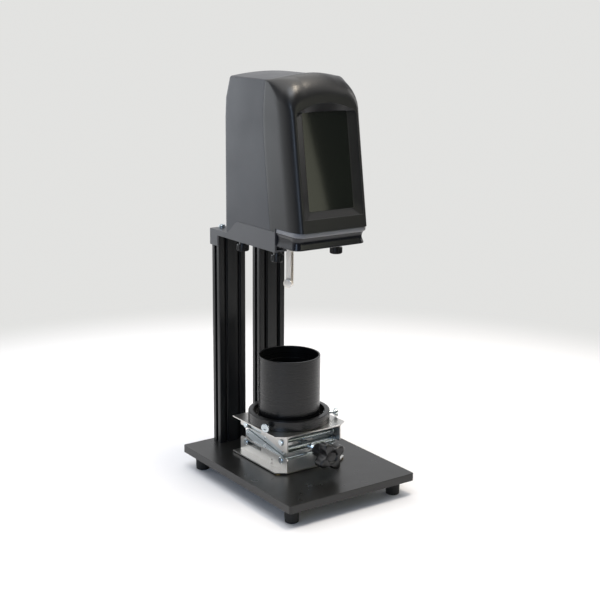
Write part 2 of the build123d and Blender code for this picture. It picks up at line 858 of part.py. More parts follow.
def torsion_spring():
    """Flat spiral spring made of half rings whose centres alternate."""
    strips = []
    for turn in range(spring_turns * 2):
        inner = spring_hub_r * 0.4 + turn * spring_pitch / 2
        shift = spring_pitch / 2 if turn % 2 else 0.0
        ring = rod_z(inner + spring_strip, shift, spindle_y, spring_z, spring_z + spring_h)
        ring = ring - rod_z(inner, shift, spindle_y, spring_z, spring_z + spring_h)
        reach = inner + spring_strip + 1
        keep = (spindle_y - reach, spindle_y) if turn % 2 else (spindle_y, spindle_y + reach)
        strips.append(ring & block(shift - reach, shift + reach, *keep, spring_z, spring_z + spring_h))
    spiral = add_all(strips[0], strips[1:])
    outer = spring_hub_r * 0.4 + (spring_turns * 2 - 1) * spring_pitch / 2
    post_x0 = spring_pitch / 2 - outer - spring_strip
    tie = block(post_x0, post_x0 + 2, spindle_y - 1, spindle_y + 1, spring_z, coupling_z)
    reach_tie = block(post_x0, -coupling_r + 1, spindle_y - 1, spindle_y + 1, coupling_z - 1, coupling_z)
    return spiral + tie + reach_tie


def spindle_shaft():
    shaft = rod_z(shaft_r, 0, spindle_y, link_top, spring_z)
    return shaft + rod_z(spring_hub_r, 0, spindle_y, spring_hub_z, spring_z)


def at_spindle(shape):
    return Pos(0, spindle_y, 0) * Rot(0, 0, link_turn) * shape


def spindle_link():
    """Hub, cone and the hanging U-channel that the measuring spindle hooks into."""
    bottom = post_top - link_drop
    bar_top = bottom + link_len
    half = link_w / 2
    hub_z = bar_top + link_cone_h - 0.5
    bar = block(-half, half, -half, half, bottom, bar_top)
    channel = block(-half + link_wall, half - link_wall, -half, half - link_wall, bottom, bar_top - 4)
    cone = cone_z(half, link_hub_r, 0, 0, bar_top - 0.5, hub_z)
    hub = rod_z(link_hub_r, 0, 0, hub_z, link_top + link_hub_h)
    hub = chamfer(hub.edges().sort_by(Axis.Z)[-1:], 0.6)
    socket = rod_z(shaft_r + fit_gap, 0, 0, link_top, link_top + link_hub_h)
    hole = rod_x(link_screw_r + running_gap, -half, half, 0, bottom + link_screw_rise)
    return at_spindle(bar - channel + cone + hub - socket - hole)


def link_screw():
    half = link_w / 2
    z = post_top - link_drop + link_screw_rise
    near = -half - 0.3
    head = rod_x(link_screw_head_r, near - link_screw_head_t, near, 0, z)
    head = chamfer(head.edges(), 0.5)
    return at_spindle(head + rod_x(link_screw_r, near - 0.5, half - link_wall - 0.5, 0, z))


# ---------------------------------------------------------------- rear panel
def power_inlet():
    z = deck_z + panel_h
    w, h = inlet_w / 2, inlet_h / 2
    edge = inlet_flange
    body = block(inlet_x - w, inlet_x + w, rear_y - inlet_depth, rear_y, z - h, z + h)
    flange = block(
        inlet_x - w - edge, inlet_x + w + edge, rear_y, rear_y + inlet_flange_t, z - h - edge, z + h + edge
    )
    flange = chamfer(flange.faces().sort_by(Axis.Y)[-1].edges(), 0.6)
    wall = inlet_wall
    mouth = block(
        inlet_x - w + wall, inlet_x + w - wall,
        rear_y - inlet_depth + wall * 2, rear_y + inlet_flange_t + 1,
        z - h + wall, z + h - wall,
    )
    mouth = chamfer(mouth.edges().filter_by(Axis.Y).sort_by(Axis.Z)[-2:], 4)
    inlet = body + flange - mouth
    for step, rise in ((-1, 0), (0, 1), (1, 0)):
        x = inlet_x + step * inlet_pin_pitch
        pin_z = z + rise * 3 - 1.5
        y0, y1 = rear_y - inlet_depth + wall, rear_y - 3
        inlet = inlet + block(x - 1, x + 1, y0, y1, pin_z - 2, pin_z + 2)
    return inlet


def power_switch_housing():
    z = deck_z + panel_h
    w, h = switch_w / 2, switch_h / 2
    edge = 1.6
    body = block(switch_x - w, switch_x + w, rear_y - switch_depth, rear_y, z - h, z + h)
    flange = block(switch_x - w - edge, switch_x + w + edge, rear_y, rear_y + 1.5, z - h - edge, z + h + edge)
    wall = switch_wall
    mouth = block(
        switch_x - w + wall, switch_x + w - wall,
        rear_y - rocker_r * 1.25, rear_y + 2,
        z - h + wall - 0.5, z + h - wall + 0.5,
    )
    pin_end = switch_w / 2 - wall + rocker_pin_bite + side_gap
    pin_hole = rod_x(rocker_pin_r + running_gap, switch_x - pin_end, switch_x + pin_end, rear_y, z)
    return body + flange - mouth - pin_hole


def power_rocker():
    """Two-way rocker, resting with its lower half pressed in."""
    z = deck_z + panel_h
    half_w = switch_w / 2 - switch_wall - rocker_gap
    reach = switch_h / 2 - switch_wall - rocker_gap
    back = -rocker_r * 0.55
    tip = 2.2
    lower = [(back, -3.0), (-1.0, -reach), (tip, -reach)]
    upper = [(y, -height) for y, height in reversed(lower)]
    rocker = side_plate(lower + [(rocker_pin_r * 1.3, 0.0)] + upper, -half_w, half_w)
    pin_end = switch_w / 2 - switch_wall + rocker_pin_bite
    rocker = rocker + rod_x(rocker_pin_r, -pin_end, pin_end, 0, 0)
    place = Pos(switch_x, rear_y, z) * Rot(rocker_tilt, 0, 0)
    return place * rocker


def data_port():
    z = deck_z + panel_h
    w, h = port_w / 2, port_h / 2
    body = block(port_x - w, port_x + w, rear_y - port_depth, rear_y + 1, z - h, z + h)
    wall = port_wall
    mouth = block(
        port_x - w + wall, port_x + w - wall,
        rear_y - port_depth + 2, rear_y + 2,
        z - h + wall, z + h - wall,
    )
    tongue = block(port_x - w + 4, port_x + w - 4, rear_y - port_depth + 1, rear_y - 1, z - 1.2, z + 1.2)
    return body - mouth + tongue


def power_board():
    back = rear_y - cover_wall
    board_y = back - power_board_gap
    half = power_board_w / 2
    z0 = deck_z + power_board_low
    z1 = z0 + power_board_h
    board = block(-half, half, board_y - board_t, board_y, z0, z1)
    for x in (-half + 5, half - 5):
        for z in (z0 + 5, z1 - 5):
            board = board + rod_y(spacer_r, x, board_y - board_t / 2, back, z)
    front = board_y - board_t
    w, h = transformer_w / 2, transformer_h / 2
    middle = (z0 + z1) / 2
    parts = [block(-half + 6, -half + 6 + w * 2, front - transformer_d, front, middle - h, middle + h)]
    for step in range(3):
        parts.append(rod_y(5.5, half - 12 - step * 13, front - 14, front, z0 + 14))
    return add_all(board, parts)


# ---------------------------------------------------------------- lifting table
def clipped_plate(z0, z1):
    x, y0, y1 = jack_w / 2, jack_front_y, jack_rear_y
    cx, cy = x - jack_clip_x, y0 + jack_clip_y
    points = [(-cx, y0), (cx, y0), (x, cy), (x, y1), (-x, y1), (-x, cy)]
    outline = Polyline(*[(px, py, z0) for px, py in points], close=True)
    return extrude(make_face(outline), amount=z1 - z0, dir=(0, 0, 1))


def slot_through(y0, y1, z):
    """Slot for a roller pin, cut through one flange."""
    radius = rod_r + slide_gap
    x0, x1 = flange_x - jack_sheet - 0.1, flange_x + 0.1
    slot = block(x0, x1, y0, y1, z - radius, z + radius)
    return slot + rod_x(radius, x0, x1, y0, z) + rod_x(radius, x0, x1, y1, z)


def roller_slot(z):
    return slot_through(pivot_rear_y - slide_travel - slot_spare, pivot_rear_y + 1, z)


def pivot_hole(y, z):
    return rod_x(rod_r + fit_gap, flange_x - jack_sheet - 0.1, flange_x + 0.1, y, z)


def jack_base():
    flange = block(
        flange_x - jack_sheet, flange_x, jack_front_y, jack_rear_y, jack_base_z, jack_base_z + base_flange_h
    )
    flange = flange - roller_slot(pivot_z) - pivot_hole(pivot_front_y, pivot_z)
    for height in (3.8, 8.4):
        hole_y = jack_y - flange_hole_back
        hole_z = jack_base_z + height
        flange = flange - rod_x(1.2, flange_x - jack_sheet - 0.1, flange_x + 0.1, hole_y, hole_z)
    return add_all(clipped_plate(jack_base_z, jack_base_z + jack_sheet), mirrored(flange))


def jack_feet():
    feet = []
    for x, y in corners(jack_w / 2 - jack_foot_inset_x, jack_d / 2 - jack_foot_inset_y):
        feet.append(rod_z(jack_foot_r, x, jack_y + y, base_top, jack_base_z))
    return feet


def headed_rod(y, z, x_end):
    """Round rod across the table with a flat head outside each flange."""
    rod = rod_x(rod_r, -x_end, x_end, y, z)
    for side in (-1, 1):
        x0, x1 = sorted((side * x_end, side * (x_end + rod_head_t)))
        rod = rod + rod_x(rod_head_r, x0, x1, y, z)
    return rod


def jack_base_rod():
    return headed_rod(pivot_front_y, pivot_z, flange_x)


def jack_top_rod():
    rod = headed_rod(pivot_front_y, top_pivot_z, flange_x)
    return rod + rod_x(rod_r * 1.5, inner_plane - 5, inner_plane - 0.4, pivot_front_y, top_pivot_z)


def jack_base_roller():
    return headed_rod(pivot_rear_y, pivot_z, flange_x + slide_gap)


def jack_top_roller():
    return headed_rod(pivot_rear_y, top_pivot_z, flange_x + slide_gap)


def arm_pair(start, end, x0, hole_gaps):
    """Left and right arm between two pivots; hole_gaps are the clearances at start, middle, end."""
    run = hypot(end[0] - start[0], end[1] - start[1])
    angle = degrees(atan2(end[1] - start[1], end[0] - start[0]))
    x1 = x0 + arm_t
    half = arm_w / 2
    arm = block(x0, x1, 0, run, -half, half) + rod_x(half, x0, x1, 0, 0) + rod_x(half, x0, x1, run, 0)
    for place, gap in zip((0, run / 2, run), hole_gaps):
        arm = arm - rod_x(rod_r + gap, x0 - 1, x1 + 1, place, 0)
    arm = Pos(0, start[0], start[1]) * Rot(angle, 0, 0) * arm
    return mirrored(arm)


def jack_arms_lower_front():
    start, end = (pivot_front_y, pivot_z), (pivot_rear_y, mid_z)
    return arm_pair(start, end, outer_plane, (running_gap, fit_gap, running_gap))


def jack_arms_lower_rear():
    start, end = (pivot_front_y, mid_z), (pivot_rear_y, pivot_z)
    return arm_pair(start, end, inner_plane, (running_gap, running_gap, fit_gap))


def jack_arms_upper_rear():
    start, end = (pivot_front_y, top_pivot_z), (pivot_rear_y, mid_z)
    return arm_pair(start, end, inner_plane, (running_gap, fit_gap, running_gap))


def jack_arms_upper_front():
    start, end = (pivot_front_y, mid_z), (pivot_rear_y, top_pivot_z)
    return arm_pair(start, end, outer_plane, (slide_gap, running_gap, fit_gap))


def centre_pins(z):
    """Short pins where two arms cross, flush outside and with a head inside."""
    y = (pivot_front_y + pivot_rear_y) / 2
    pin = rod_x(rod_r, inner_plane - 0.4, outer_plane + arm_t, y, z)
    pin = pin + rod_x(rod_head_r, inner_plane - 0.4 - 1.2, inner_plane - 0.4, y, z)
    return mirrored(pin)


def jack_pins_lower():
    return centre_pins(pivot_z + half_rise / 2)


def jack_pins_upper():
    return centre_pins(mid_z + half_rise / 2)


def cross_bar(y, bore_r):
    bar = rod_x(bar_r, -inner_plane + 0.3, inner_plane - 0.3, y, mid_z)
    bar = bar + rod_x(rod_r, -outer_plane - arm_t, outer_plane + arm_t, y, mid_z)
    return bar - rod_y(bore_r, 0, y - bar_r, y + bar_r, mid_z)


def jack_front_bar():
    return cross_bar(pivot_front_y, lead_r + running_gap)


def jack_rear_bar():
    return cross_bar(pivot_rear_y, lead_r + slide_gap)


def jack_screw():
    """Lead screw with a collar each side of the front cross bar."""
    knob_y = pivot_front_y - lead_to_knob
    screw = rod_y(lead_r, 0, knob_y, pivot_rear_y + lead_tail, mid_z)
    for y in (pivot_front_y - bar_r - 0.3 - lead_collar_t, pivot_front_y + bar_r + 0.3):
        screw = screw + rod_y(lead_collar_r, 0, y, y + lead_collar_t, mid_z)
    return screw


def jack_knob():
    knob_y = pivot_front_y - lead_to_knob
    lobe_y = knob_y - jack_knob_hub_l
    knob = rod_y(jack_knob_hub_r, 0, lobe_y, knob_y, mid_z)
    for index in range(jack_knob_lobes):
        angle = radians(jack_knob_turn + index * 360 / jack_knob_lobes)
        x = jack_knob_lobe_reach * cos(angle)
        z = mid_z + jack_knob_lobe_reach * sin(angle)
        knob = knob + rod_y(jack_knob_lobe_r, x, lobe_y - jack_knob_l, lobe_y, z)
    return knob


def jack_top():
    under = table_z - jack_sheet
    flange_low = table_z - top_flange_h
    ear_low = table_z - ear_h - jack_sheet
    y0, y1 = jack_front_y, jack_rear_y
    points = [
        (y0, under), (y0, ear_low), (y0 + ear_run * 0.5, ear_low), (y0 + ear_run + ear_slope, flange_low),
        (y1, flange_low), (y1, under),
    ]
    flange = side_plate(points, flange_x - jack_sheet, flange_x)
    flange = flange - roller_slot(top_pivot_z) - pivot_hole(pivot_front_y, top_pivot_z)
    return add_all(clipped_plate(under, table_z), mirrored(flange))


# ---------------------------------------------------------------- cup and ring
def at_screw(angle, shape):
    return Pos(0, spindle_y, screw_z) * Rot(0, 0, angle) * shape


def cup_ring():
    ring = rod_z(ring_r, 0, spindle_y, table_z, table_z + ring_h)
    ring = chamfer(ring.edges().sort_by(Axis.Z)[-1:], ring_chamfer)
    ring = ring - rod_z(ring_r - ring_wall, 0, spindle_y, table_z, table_z + ring_h)
    for angle in ring_screw_angles.values():
        hole = rod_x(ring_screw_r + running_gap, ring_r - ring_wall - 2, ring_r + 2, 0, 0)
        ring = ring - at_screw(angle, hole)
    return ring


def ring_screw(angle):
    inner = ring_r - ring_wall - ring_screw_nose
    neck = ring_r + ring_screw_out
    head = neck + ring_screw_neck_t
    screw = rod_x(ring_screw_r, inner, head, 0, 0) + rod_x(ring_screw_neck_r, neck, head, 0, 0)
    grip = chamfer(rod_x(ring_screw_head_r, head, head + ring_screw_head_t, 0, 0).edges(), 0.6)
    return at_screw(angle, screw + grip)


def outer_cup():
    cup = rod_z(cup_r, 0, spindle_y, table_z, table_z + cup_h)
    return cup - rod_z(cup_r - cup_wall, 0, spindle_y, table_z + cup_floor, table_z + cup_h)


def sample_cup():
    radius = cup_r - cup_wall - sample_gap
    low = table_z + cup_floor
    high = table_z + cup_h - sample_below_rim
    cup = rod_z(radius, 0, spindle_y, low, high)
    return cup - rod_z(radius - sample_wall, 0, spindle_y, low + sample_floor, high)


parts = {
    "base_plate": base_plate,
    "rubber_feet": rubber_feet,
    "foot_screws": foot_screws,
    "left_post": left_post,
    "right_post": right_post,
    "post_screws": post_screws,
    "head_bracket": head_bracket,
    "head_base": head_base,
    "case_screws": case_screws,
    "front_cover": front_cover,
    "rear_cover": rear_cover,
    "touch_screen": touch_screen,
    "display_panel": display_panel,
    "main_board": main_board,
    "bearing_housing": bearing_housing,
    "spindle_bearings": spindle_bearings,
    "bridge_standoffs": bridge_standoffs,
    "motor_bridge": motor_bridge,
    "bridge_screws": bridge_screws,
    "drive_motor": drive_motor,
    "encoder_sensor": encoder_sensor,
    "drive_coupling": drive_coupling,
    "encoder_disc": encoder_disc,
    "torsion_spring": torsion_spring,
    "spindle_shaft": spindle_shaft,
    "spindle_link": spindle_link,
    "link_screw": link_screw,
    "power_inlet": power_inlet,
    "power_switch_housing": power_switch_housing,
    "power_rocker": power_rocker,
    "data_port": data_port,
    "power_board": power_board,
    "jack_base": jack_base,
    "jack_feet": jack_feet,
    "jack_base_rod": jack_base_rod,
    "jack_base_roller": jack_base_roller,
    "jack_arms_lower_front": jack_arms_lower_front,
    "jack_arms_lower_rear": jack_arms_lower_rear,
    "jack_arms_upper_front": jack_arms_upper_front,
    "jack_arms_upper_rear": jack_arms_upper_rear,
    "jack_pins_lower": jack_pins_lower,
    "jack_pins_upper": jack_pins_upper,
    "jack_front_bar": jack_front_bar,
    "jack_rear_bar": jack_rear_bar,
    "jack_screw": jack_screw,
    "jack_knob": jack_knob,
    "jack_top": jack_top,
    "jack_top_rod": jack_top_rod,
    "jack_top_roller": jack_top_roller,
    "cup_ring": cup_ring,
    "outer_cup": outer_cup,
    "sample_cup": sample_cup,
}

for name, make in parts.items():
    made = make()
    solids = made if isinstance(made, list) else [made]
    export_step(Compound(children=solids), "parts/" + name + ".step")

for (x, y), name in zip(knob_places(), ("front_left", "front_right", "rear_left", "rear_right")):
    export_step(clamp_knob(x, y), "parts/clamp_knob_" + name + ".step")

for name, angle in ring_screw_angles.items():
    export_step(ring_screw(angle), "parts/ring_screw_" + name + ".step")
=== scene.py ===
"""Rotational viscometer on a two-post stand, with a scissor lifting table under its spindle."""

import math

import bmesh
import bpy
from bpy.props import FloatProperty, FloatVectorProperty, IntProperty, PointerProperty
from mathutils import Matrix, Vector


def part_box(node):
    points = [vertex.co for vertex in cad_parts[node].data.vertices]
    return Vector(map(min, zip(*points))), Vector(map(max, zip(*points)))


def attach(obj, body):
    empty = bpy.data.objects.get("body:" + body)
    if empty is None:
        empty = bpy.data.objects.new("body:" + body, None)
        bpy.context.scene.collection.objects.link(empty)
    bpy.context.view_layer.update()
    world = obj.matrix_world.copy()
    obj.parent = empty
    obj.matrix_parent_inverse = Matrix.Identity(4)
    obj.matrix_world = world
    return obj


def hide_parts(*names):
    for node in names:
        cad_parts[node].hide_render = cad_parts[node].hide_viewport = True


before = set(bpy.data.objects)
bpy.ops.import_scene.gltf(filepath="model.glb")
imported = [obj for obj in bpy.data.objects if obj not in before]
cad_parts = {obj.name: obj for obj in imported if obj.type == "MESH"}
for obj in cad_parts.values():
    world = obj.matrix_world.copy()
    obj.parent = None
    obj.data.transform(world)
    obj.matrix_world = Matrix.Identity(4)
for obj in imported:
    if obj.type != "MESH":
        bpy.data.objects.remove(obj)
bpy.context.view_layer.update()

bl_info = {
    "name": "Rotational viscometer",
    "version": (1, 0, 0),
    "blender": (4, 5, 0),
    "location": "View3D > Sidebar > Viscometer",
    "description": "Dresses the packed viscometer with its covers, castings, posts and lifting table",
    "category": "Object",
}

MM = 0.001
SHARP_ANGLE, COVER_ANGLE = math.radians(38), math.radians(32)


def node_box(name):
    """A CAD node's lowest and highest corner in millimetres."""
    low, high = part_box(name)
    return low / MM, high / MM


def middle(name):
    low, high = node_box(name)
    return (low + high) / 2


# Places that the pieces share, read from the CAD parts.
BASE_LOW, BASE_HIGH = node_box("base_plate")
SHELF_LOW, SHELF_HIGH = node_box("head_bracket")
REAR_LOW, REAR_HIGH = node_box("rear_cover")
CASTING_LOW, CASTING_HIGH = node_box("head_base")
TABLE_LOW, TABLE_HIGH = node_box("jack_top")
TABLE_BASE_LOW, TABLE_BASE_HIGH = node_box("jack_base")
DECK = REAR_LOW.z
HEAD_HALF = REAR_HIGH.x
REAR_Y = REAR_HIGH.y
AXIS_Y = middle("spindle_shaft").y
CLAMP_CORNERS = ("front_left", "front_right", "rear_left", "rear_right")
SCREW_HEAD, SCREW_PITCH = 4.2, 20.0


# ------------------------------------------------------------------ sizes and colours
def length(name, description, default):
    return FloatProperty(name=name, description=description, default=default * MM, min=0.0,
                         subtype="DISTANCE", unit="LENGTH", precision=4)


def colour(name, description, default):
    return FloatVectorProperty(name=name, description=description, default=default, size=3,
                               min=0.0, max=1.0, subtype="COLOR")


class StandSizes(bpy.types.PropertyGroup):
    plate_edge: length("Plate edge", "Chamfer round the top of the base plate", 0.9)
    slot_opening: length("Slot opening", "Width of a post's T-slot at its mouth", 5.2)
    slot_cavity: length("Slot cavity", "Width of a post's T-slot behind its lips", 8.0)
    slot_lip: length("Slot lip", "Thickness of the lips of a T-slot", 1.8)
    slot_depth: length("Slot depth", "Depth of a T-slot from the post's face", 4.8)
    bracket_fold: length("Bracket edge", "Softening of the bracket's sheared edges", 0.8)
    foot_taper: length("Foot taper", "How much a rubber foot narrows towards the floor", 0.5)


class HeadSizes(bpy.types.PropertyGroup):
    lean: FloatProperty(name="Lean", description="How far the screen leans back for each unit of height",
                        default=0.15, min=0.0, max=0.5)
    face_y: length("Face depth", "How far the foot of the screen face stands ahead of the origin", 79.2)
    side_round: length("Side rounding", "Width of the rounding at the sides of the face", 9.0)
    side_run: length("Side rounding depth", "Depth of the rounding at the sides of the face", 25.0)
    top_round: length("Top rounding", "Height of the rounding at the top of the face", 28.0)
    top_run: length("Top rounding depth", "Depth of the rounding at the top of the face", 36.0)
    shoulder: length("Shoulder radius", "Radius of the upper corners of the face", 27.0)
    opening: length("Screen opening", "Width of the recess round the screen", 85.0)
    window: length("Screen window", "Width of the window at the bottom of the recess", 64.7)
    wall: length("Cover wall", "Thickness of the moulded covers", 2.5)
    seam: length("Seam", "Depth of the groove between the covers", 0.6)


class TableSizes(bpy.types.PropertyGroup):
    sheet: length("Table sheet", "Thickness of the lifting table's plates", 1.5)
    edge: length("Table edge", "Softening of the lifting table's edges", 0.25)
    knob_lobe: length("Knob lobe", "How far the lobes of the star knob stand out", 6.0)
    knurl_count: IntProperty(name="Knurls", description="Ribs round a thumb screw's head", default=30,
                             min=6, max=80)
    rib_count: IntProperty(name="Clamp ribs", description="Ribs round a clamp knob", default=20,
                           min=6, max=60)


class Colours(bpy.types.PropertyGroup):
    base_paint: colour("Base paint", "Paint of the base plate", (0.009, 0.0088, 0.0085))
    post_black: colour("Post black", "Anodised posts", (0.007, 0.0075, 0.0085))
    cup_black: colour("Cup black", "Anodised cups and ring", (0.0045, 0.0047, 0.0052))
    # The lip's finish lightens this grey threefold, as a painted highlight.
    bracket_grey: colour("Bracket grey", "Painted bracket and lip", (0.074, 0.075, 0.080))
    cover_grey: colour("Cover grey", "Moulded rear cover", (0.034, 0.036, 0.044))
    cover_black: colour("Front black", "Moulded front cover", (0.0085, 0.0088, 0.0100))
    casting_black: colour("Casting black", "Painted casting under the head", (0.007, 0.008, 0.012))
    glass_black: colour("Glass black", "Screen glass", (0.006, 0.0075, 0.006))
    nickel: colour("Nickel", "Plated plates of the lifting table", (0.60, 0.59, 0.57))
    zinc: colour("Zinc", "Zinc plated arms, rods and screws", (0.60, 0.66, 0.69))
    link_steel: colour("Link steel", "Pale steel of the spindle link", (0.92, 0.88, 0.82))
    brass: colour("Brass", "Feet of the lifting table", (0.72, 0.50, 0.16))
    knob_black: colour("Knob black", "Moulded knobs", (0.006, 0.006, 0.007))
    rubber_black: colour("Rubber black", "Feet of the stand", (0.018, 0.018, 0.018))


class StageSettings(bpy.types.PropertyGroup):
    table_white: colour("Table", "Colour of the pale table", (0.86, 0.86, 0.88))
    wall_grey: colour("Wall", "Colour of the far backdrop", (0.765, 0.765, 0.752))
    back_level: FloatProperty(name="Backdrop light", description="Light that comes from behind the object",
                              default=0.90, min=0.0, max=3.0)
    front_level: FloatProperty(name="Room light", description="Light that comes from the viewer's side",
                               default=0.10, min=0.0, max=3.0)


# ------------------------------------------------------------------ shapes
class Shape:
    """Loose geometry in millimetres that becomes one piece."""

    def __init__(self):
        self.bm = bmesh.new()

    def loop(self, points):
        return [self.bm.verts.new(point) for point in points]

    def fill(self, verts):
        self.bm.faces.new(verts)

    def bridge(self, first, second, closed=True):
        count = len(first)
        for i in range(count if closed else count - 1):
            j = (i + 1) % count
            self.bm.faces.new((first[i], first[j], second[j], second[i]))

    def fan(self, tip, ring):
        count = len(ring)
        for i in range(count):
            self.bm.faces.new((ring[i], ring[(i + 1) % count], tip))

    def skin(self, loops, closed=True):
        for first, second in zip(loops, loops[1:]):
            self.bridge(first, second, closed)
        return loops

    def stack(self, rings):
        """Skin over rings of points, with a cap on each end."""
        loops = self.skin([self.loop(ring) for ring in rings])
        self.fill(list(reversed(loops[0])))
        self.fill(loops[-1])
        return self

    def prism(self, outline, low, high, axis="Z"):
        """Extrude a flat outline. Its points are (x, y) for Z, (y, z) for X and (x, z) for Y."""
        place = {
            "X": lambda a, b, c: (c, a, b),
            "Y": lambda a, b, c: (a, c, b),
            "Z": lambda a, b, c: (a, b, c),
        }[axis]
        return self.stack([[place(a, b, level) for a, b in outline] for level in (low, high)])

    def block(self, x0, x1, y0, y1, z0, z1):
        return self.prism([(x0, y0), (x1, y0), (x1, y1), (x0, y1)], z0, z1)

    def revolve(self, profile, steps=64, wave=None, matrix=None):
        """Turn (radius, height) points round Z. A radius of 0 closes the end in a point."""
        start = len(self.bm.verts)
        previous = None
        for radius, height in profile:
            if radius == 0:
                tip = self.bm.verts.new((0, 0, height))
                if previous is not None:
                    self.fan(tip, previous)
                previous = tip
                continue
            ring = []
            for step in range(steps):
                angle = 2 * math.pi * step / steps
                r = radius * (wave(angle, radius, height) if wave else 1.0)
                ring.append(self.bm.verts.new((r * math.cos(angle), r * math.sin(angle), height)))
            if previous is not None:
                if isinstance(previous, list):
                    self.bridge(previous, ring)
                else:
                    self.fan(previous, ring)
            previous = ring
        if matrix is not None:
            self.bm.verts.ensure_lookup_table()
            bmesh.ops.transform(self.bm, matrix=matrix, verts=self.bm.verts[start:])
        return self

    def rod(self, radius, low, high, steps, matrix):
        """A plain round bar, built along Z and then laid by the matrix."""
        return self.revolve([(0, low), (radius, low), (radius, high), (0, high)], steps, matrix=matrix)

    def tube(self, profile, steps, matrix):
        """Turn a closed (radius, height) outline round Z, for a piece with a hole through it."""
        rings = []
        for radius, height in profile:
            angles = [2 * math.pi * step / steps for step in range(steps)]
            ring = [Vector((radius * math.cos(angle), radius * math.sin(angle), height)) for angle in angles]
            rings.append([matrix @ point for point in ring])
        loops = self.skin([self.loop(ring) for ring in rings])
        self.bridge(loops[-1], loops[0])
        return self

    def object(self, name):
        bmesh.ops.remove_doubles(self.bm, verts=self.bm.verts, dist=0.0005)
        bmesh.ops.recalc_face_normals(self.bm, faces=self.bm.faces)
        bmesh.ops.scale(self.bm, vec=(MM, MM, MM), verts=self.bm.verts)
        mesh = bpy.data.meshes.new(name)
        self.bm.to_mesh(mesh)
        self.bm.free()
        made = bpy.data.objects.new(name, mesh)
        bpy.context.scene.collection.objects.link(made)
        return made


def rounded(half_x, half_y, radius, centre=(0, 0), steps=6):
    """Rounded rectangle as (x, y) points."""
    points = []
    for corner, (sx, sy) in enumerate(((1, 1), (-1, 1), (-1, -1), (1, -1))):
        for step in range(steps + 1):
            angle = math.pi / 2 * (corner + step / steps)
            x = centre[0] + sx * (half_x - radius) + radius * math.cos(angle)
            y = centre[1] + sy * (half_y - radius) + radius * math.sin(angle)
            points.append((x, y))
    return points


def capsule(start, end, radius, steps):
    """Outline of a bar with round ends, between two points of a plane."""
    lean = math.atan2(end[1] - start[1], end[0] - start[0])
    points = []
    for centre, first in ((end, -math.pi / 2), (start, math.pi / 2)):
        for step in range(steps + 1):
            angle = lean + first + math.pi * step / steps
            points.append((centre[0] + radius * math.cos(angle), centre[1] + radius * math.sin(angle)))
    return points


def mirrored(half):
    """Whole profile of a turned part from the half that ends at +height."""
    return [(radius, -height) for radius, height in reversed(half)] + half


def smooth(share):
    """Ease in and out between 0 and 1."""
    share = min(1.0, max(0.0, share))
    return 3 * share ** 2 - 2 * share ** 3


def along_x(x, y, z):
    """Matrix that lays a shape built round Z along +X, from the given place."""
    return Matrix.Translation((x, y, z)) @ Matrix.Rotation(math.pi / 2, 4, "Y")


def along_y(x, y, z):
    return Matrix.Translation((x, y, z)) @ Matrix.Rotation(-math.pi / 2, 4, "X")


def upright(x, y, z=0.0):
    return Matrix.Translation((x, y, z))


# ------------------------------------------------------------------ pieces
def baked(made):
    """The object's modifiers become part of its mesh."""
    bpy.context.view_layer.update()
    graph = bpy.context.evaluated_depsgraph_get()
    mesh = bpy.data.meshes.new_from_object(made.evaluated_get(graph))
    made.modifiers.clear()
    made.data = mesh
    return made


def carve(made, cutter, operation="DIFFERENCE"):
    """Cut the cutter's shape out of the object, or join it on."""
    tool = cutter.object(made.name + "_tool")
    change = made.modifiers.new("carve", "BOOLEAN")
    change.operation = operation
    change.solver = "EXACT"
    change.object = tool
    baked(made)
    bpy.data.objects.remove(tool)
    return made


def join_on(made, shape):
    return carve(made, shape, "UNION")


def soften(made, width, segments=2):
    bevel = made.modifiers.new("edge", "BEVEL")
    bevel.width = width * MM
    bevel.segments = segments
    bevel.limit_method = "ANGLE"
    bevel.angle_limit = math.radians(30)
    bevel.use_clamp_overlap = True
    return baked(made)


def shade(made, angle):
    """Smooth shading that keeps the edges sharper than the angle."""
    bm = bmesh.new()
    bm.from_mesh(made.data)
    for face in bm.faces:
        face.smooth = True
    for edge in bm.edges:
        turn = edge.calc_face_angle(math.pi) if len(edge.link_faces) == 2 else math.pi
        edge.smooth = turn < angle
    bm.to_mesh(made.data)
    bm.free()
    even = made.modifiers.new("even", "WEIGHTED_NORMAL")
    even.keep_sharp = True
    return baked(made)


def dress(made, key):
    """Give the whole object one finish."""
    made.data.materials.clear()
    made.data.materials.append(finish(key))
    for face in made.data.polygons:
        face.material_index = 0


def fit(made, key, body, slot, *nodes, angle=SHARP_ANGLE):
    """Shade and dress a piece, and say what it rides on and the nodes that it stands for; the slot is not
    used.
    """
    shade(made, angle)
    dress(made, key)
    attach(made, body)
    if nodes:
        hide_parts(*nodes)


def complete(name, shape, key, body, slot, nodes=(), edge=0.0, segments=2, cutter=None):
    """Make a piece from its shape, with what is cut out of it and its softened edges."""
    made = shape.object(name)
    if cutter is not None:
        carve(made, cutter)
    if edge:
        soften(made, edge, segments)
    fit(made, key, body, slot, *nodes)


# ------------------------------------------------------------------ copies by geometry nodes
def new_node(tree, kind, **inputs):
    """A node with its inputs set. An underscore in an input's name stands for a space."""
    node = tree.nodes.new(kind)
    for name, value in inputs.items():
        node.inputs[name.replace("_", " ")].default_value = value
    return node


def ramp_node(tree, start, end, low=0.0, high=1.0, interpolation="LINEAR"):
    """A node that maps the range start to end onto low to high."""
    node = new_node(tree, "ShaderNodeMapRange", From_Min=start, From_Max=end, To_Min=low, To_Max=high)
    node.interpolation_type = interpolation
    return node


def wire(tree, *joins):
    """Link outputs to inputs, each join given as (node, output, node, input)."""
    for source, output, target, entry in joins:
        tree.links.new(source.outputs[output], target.inputs[entry])


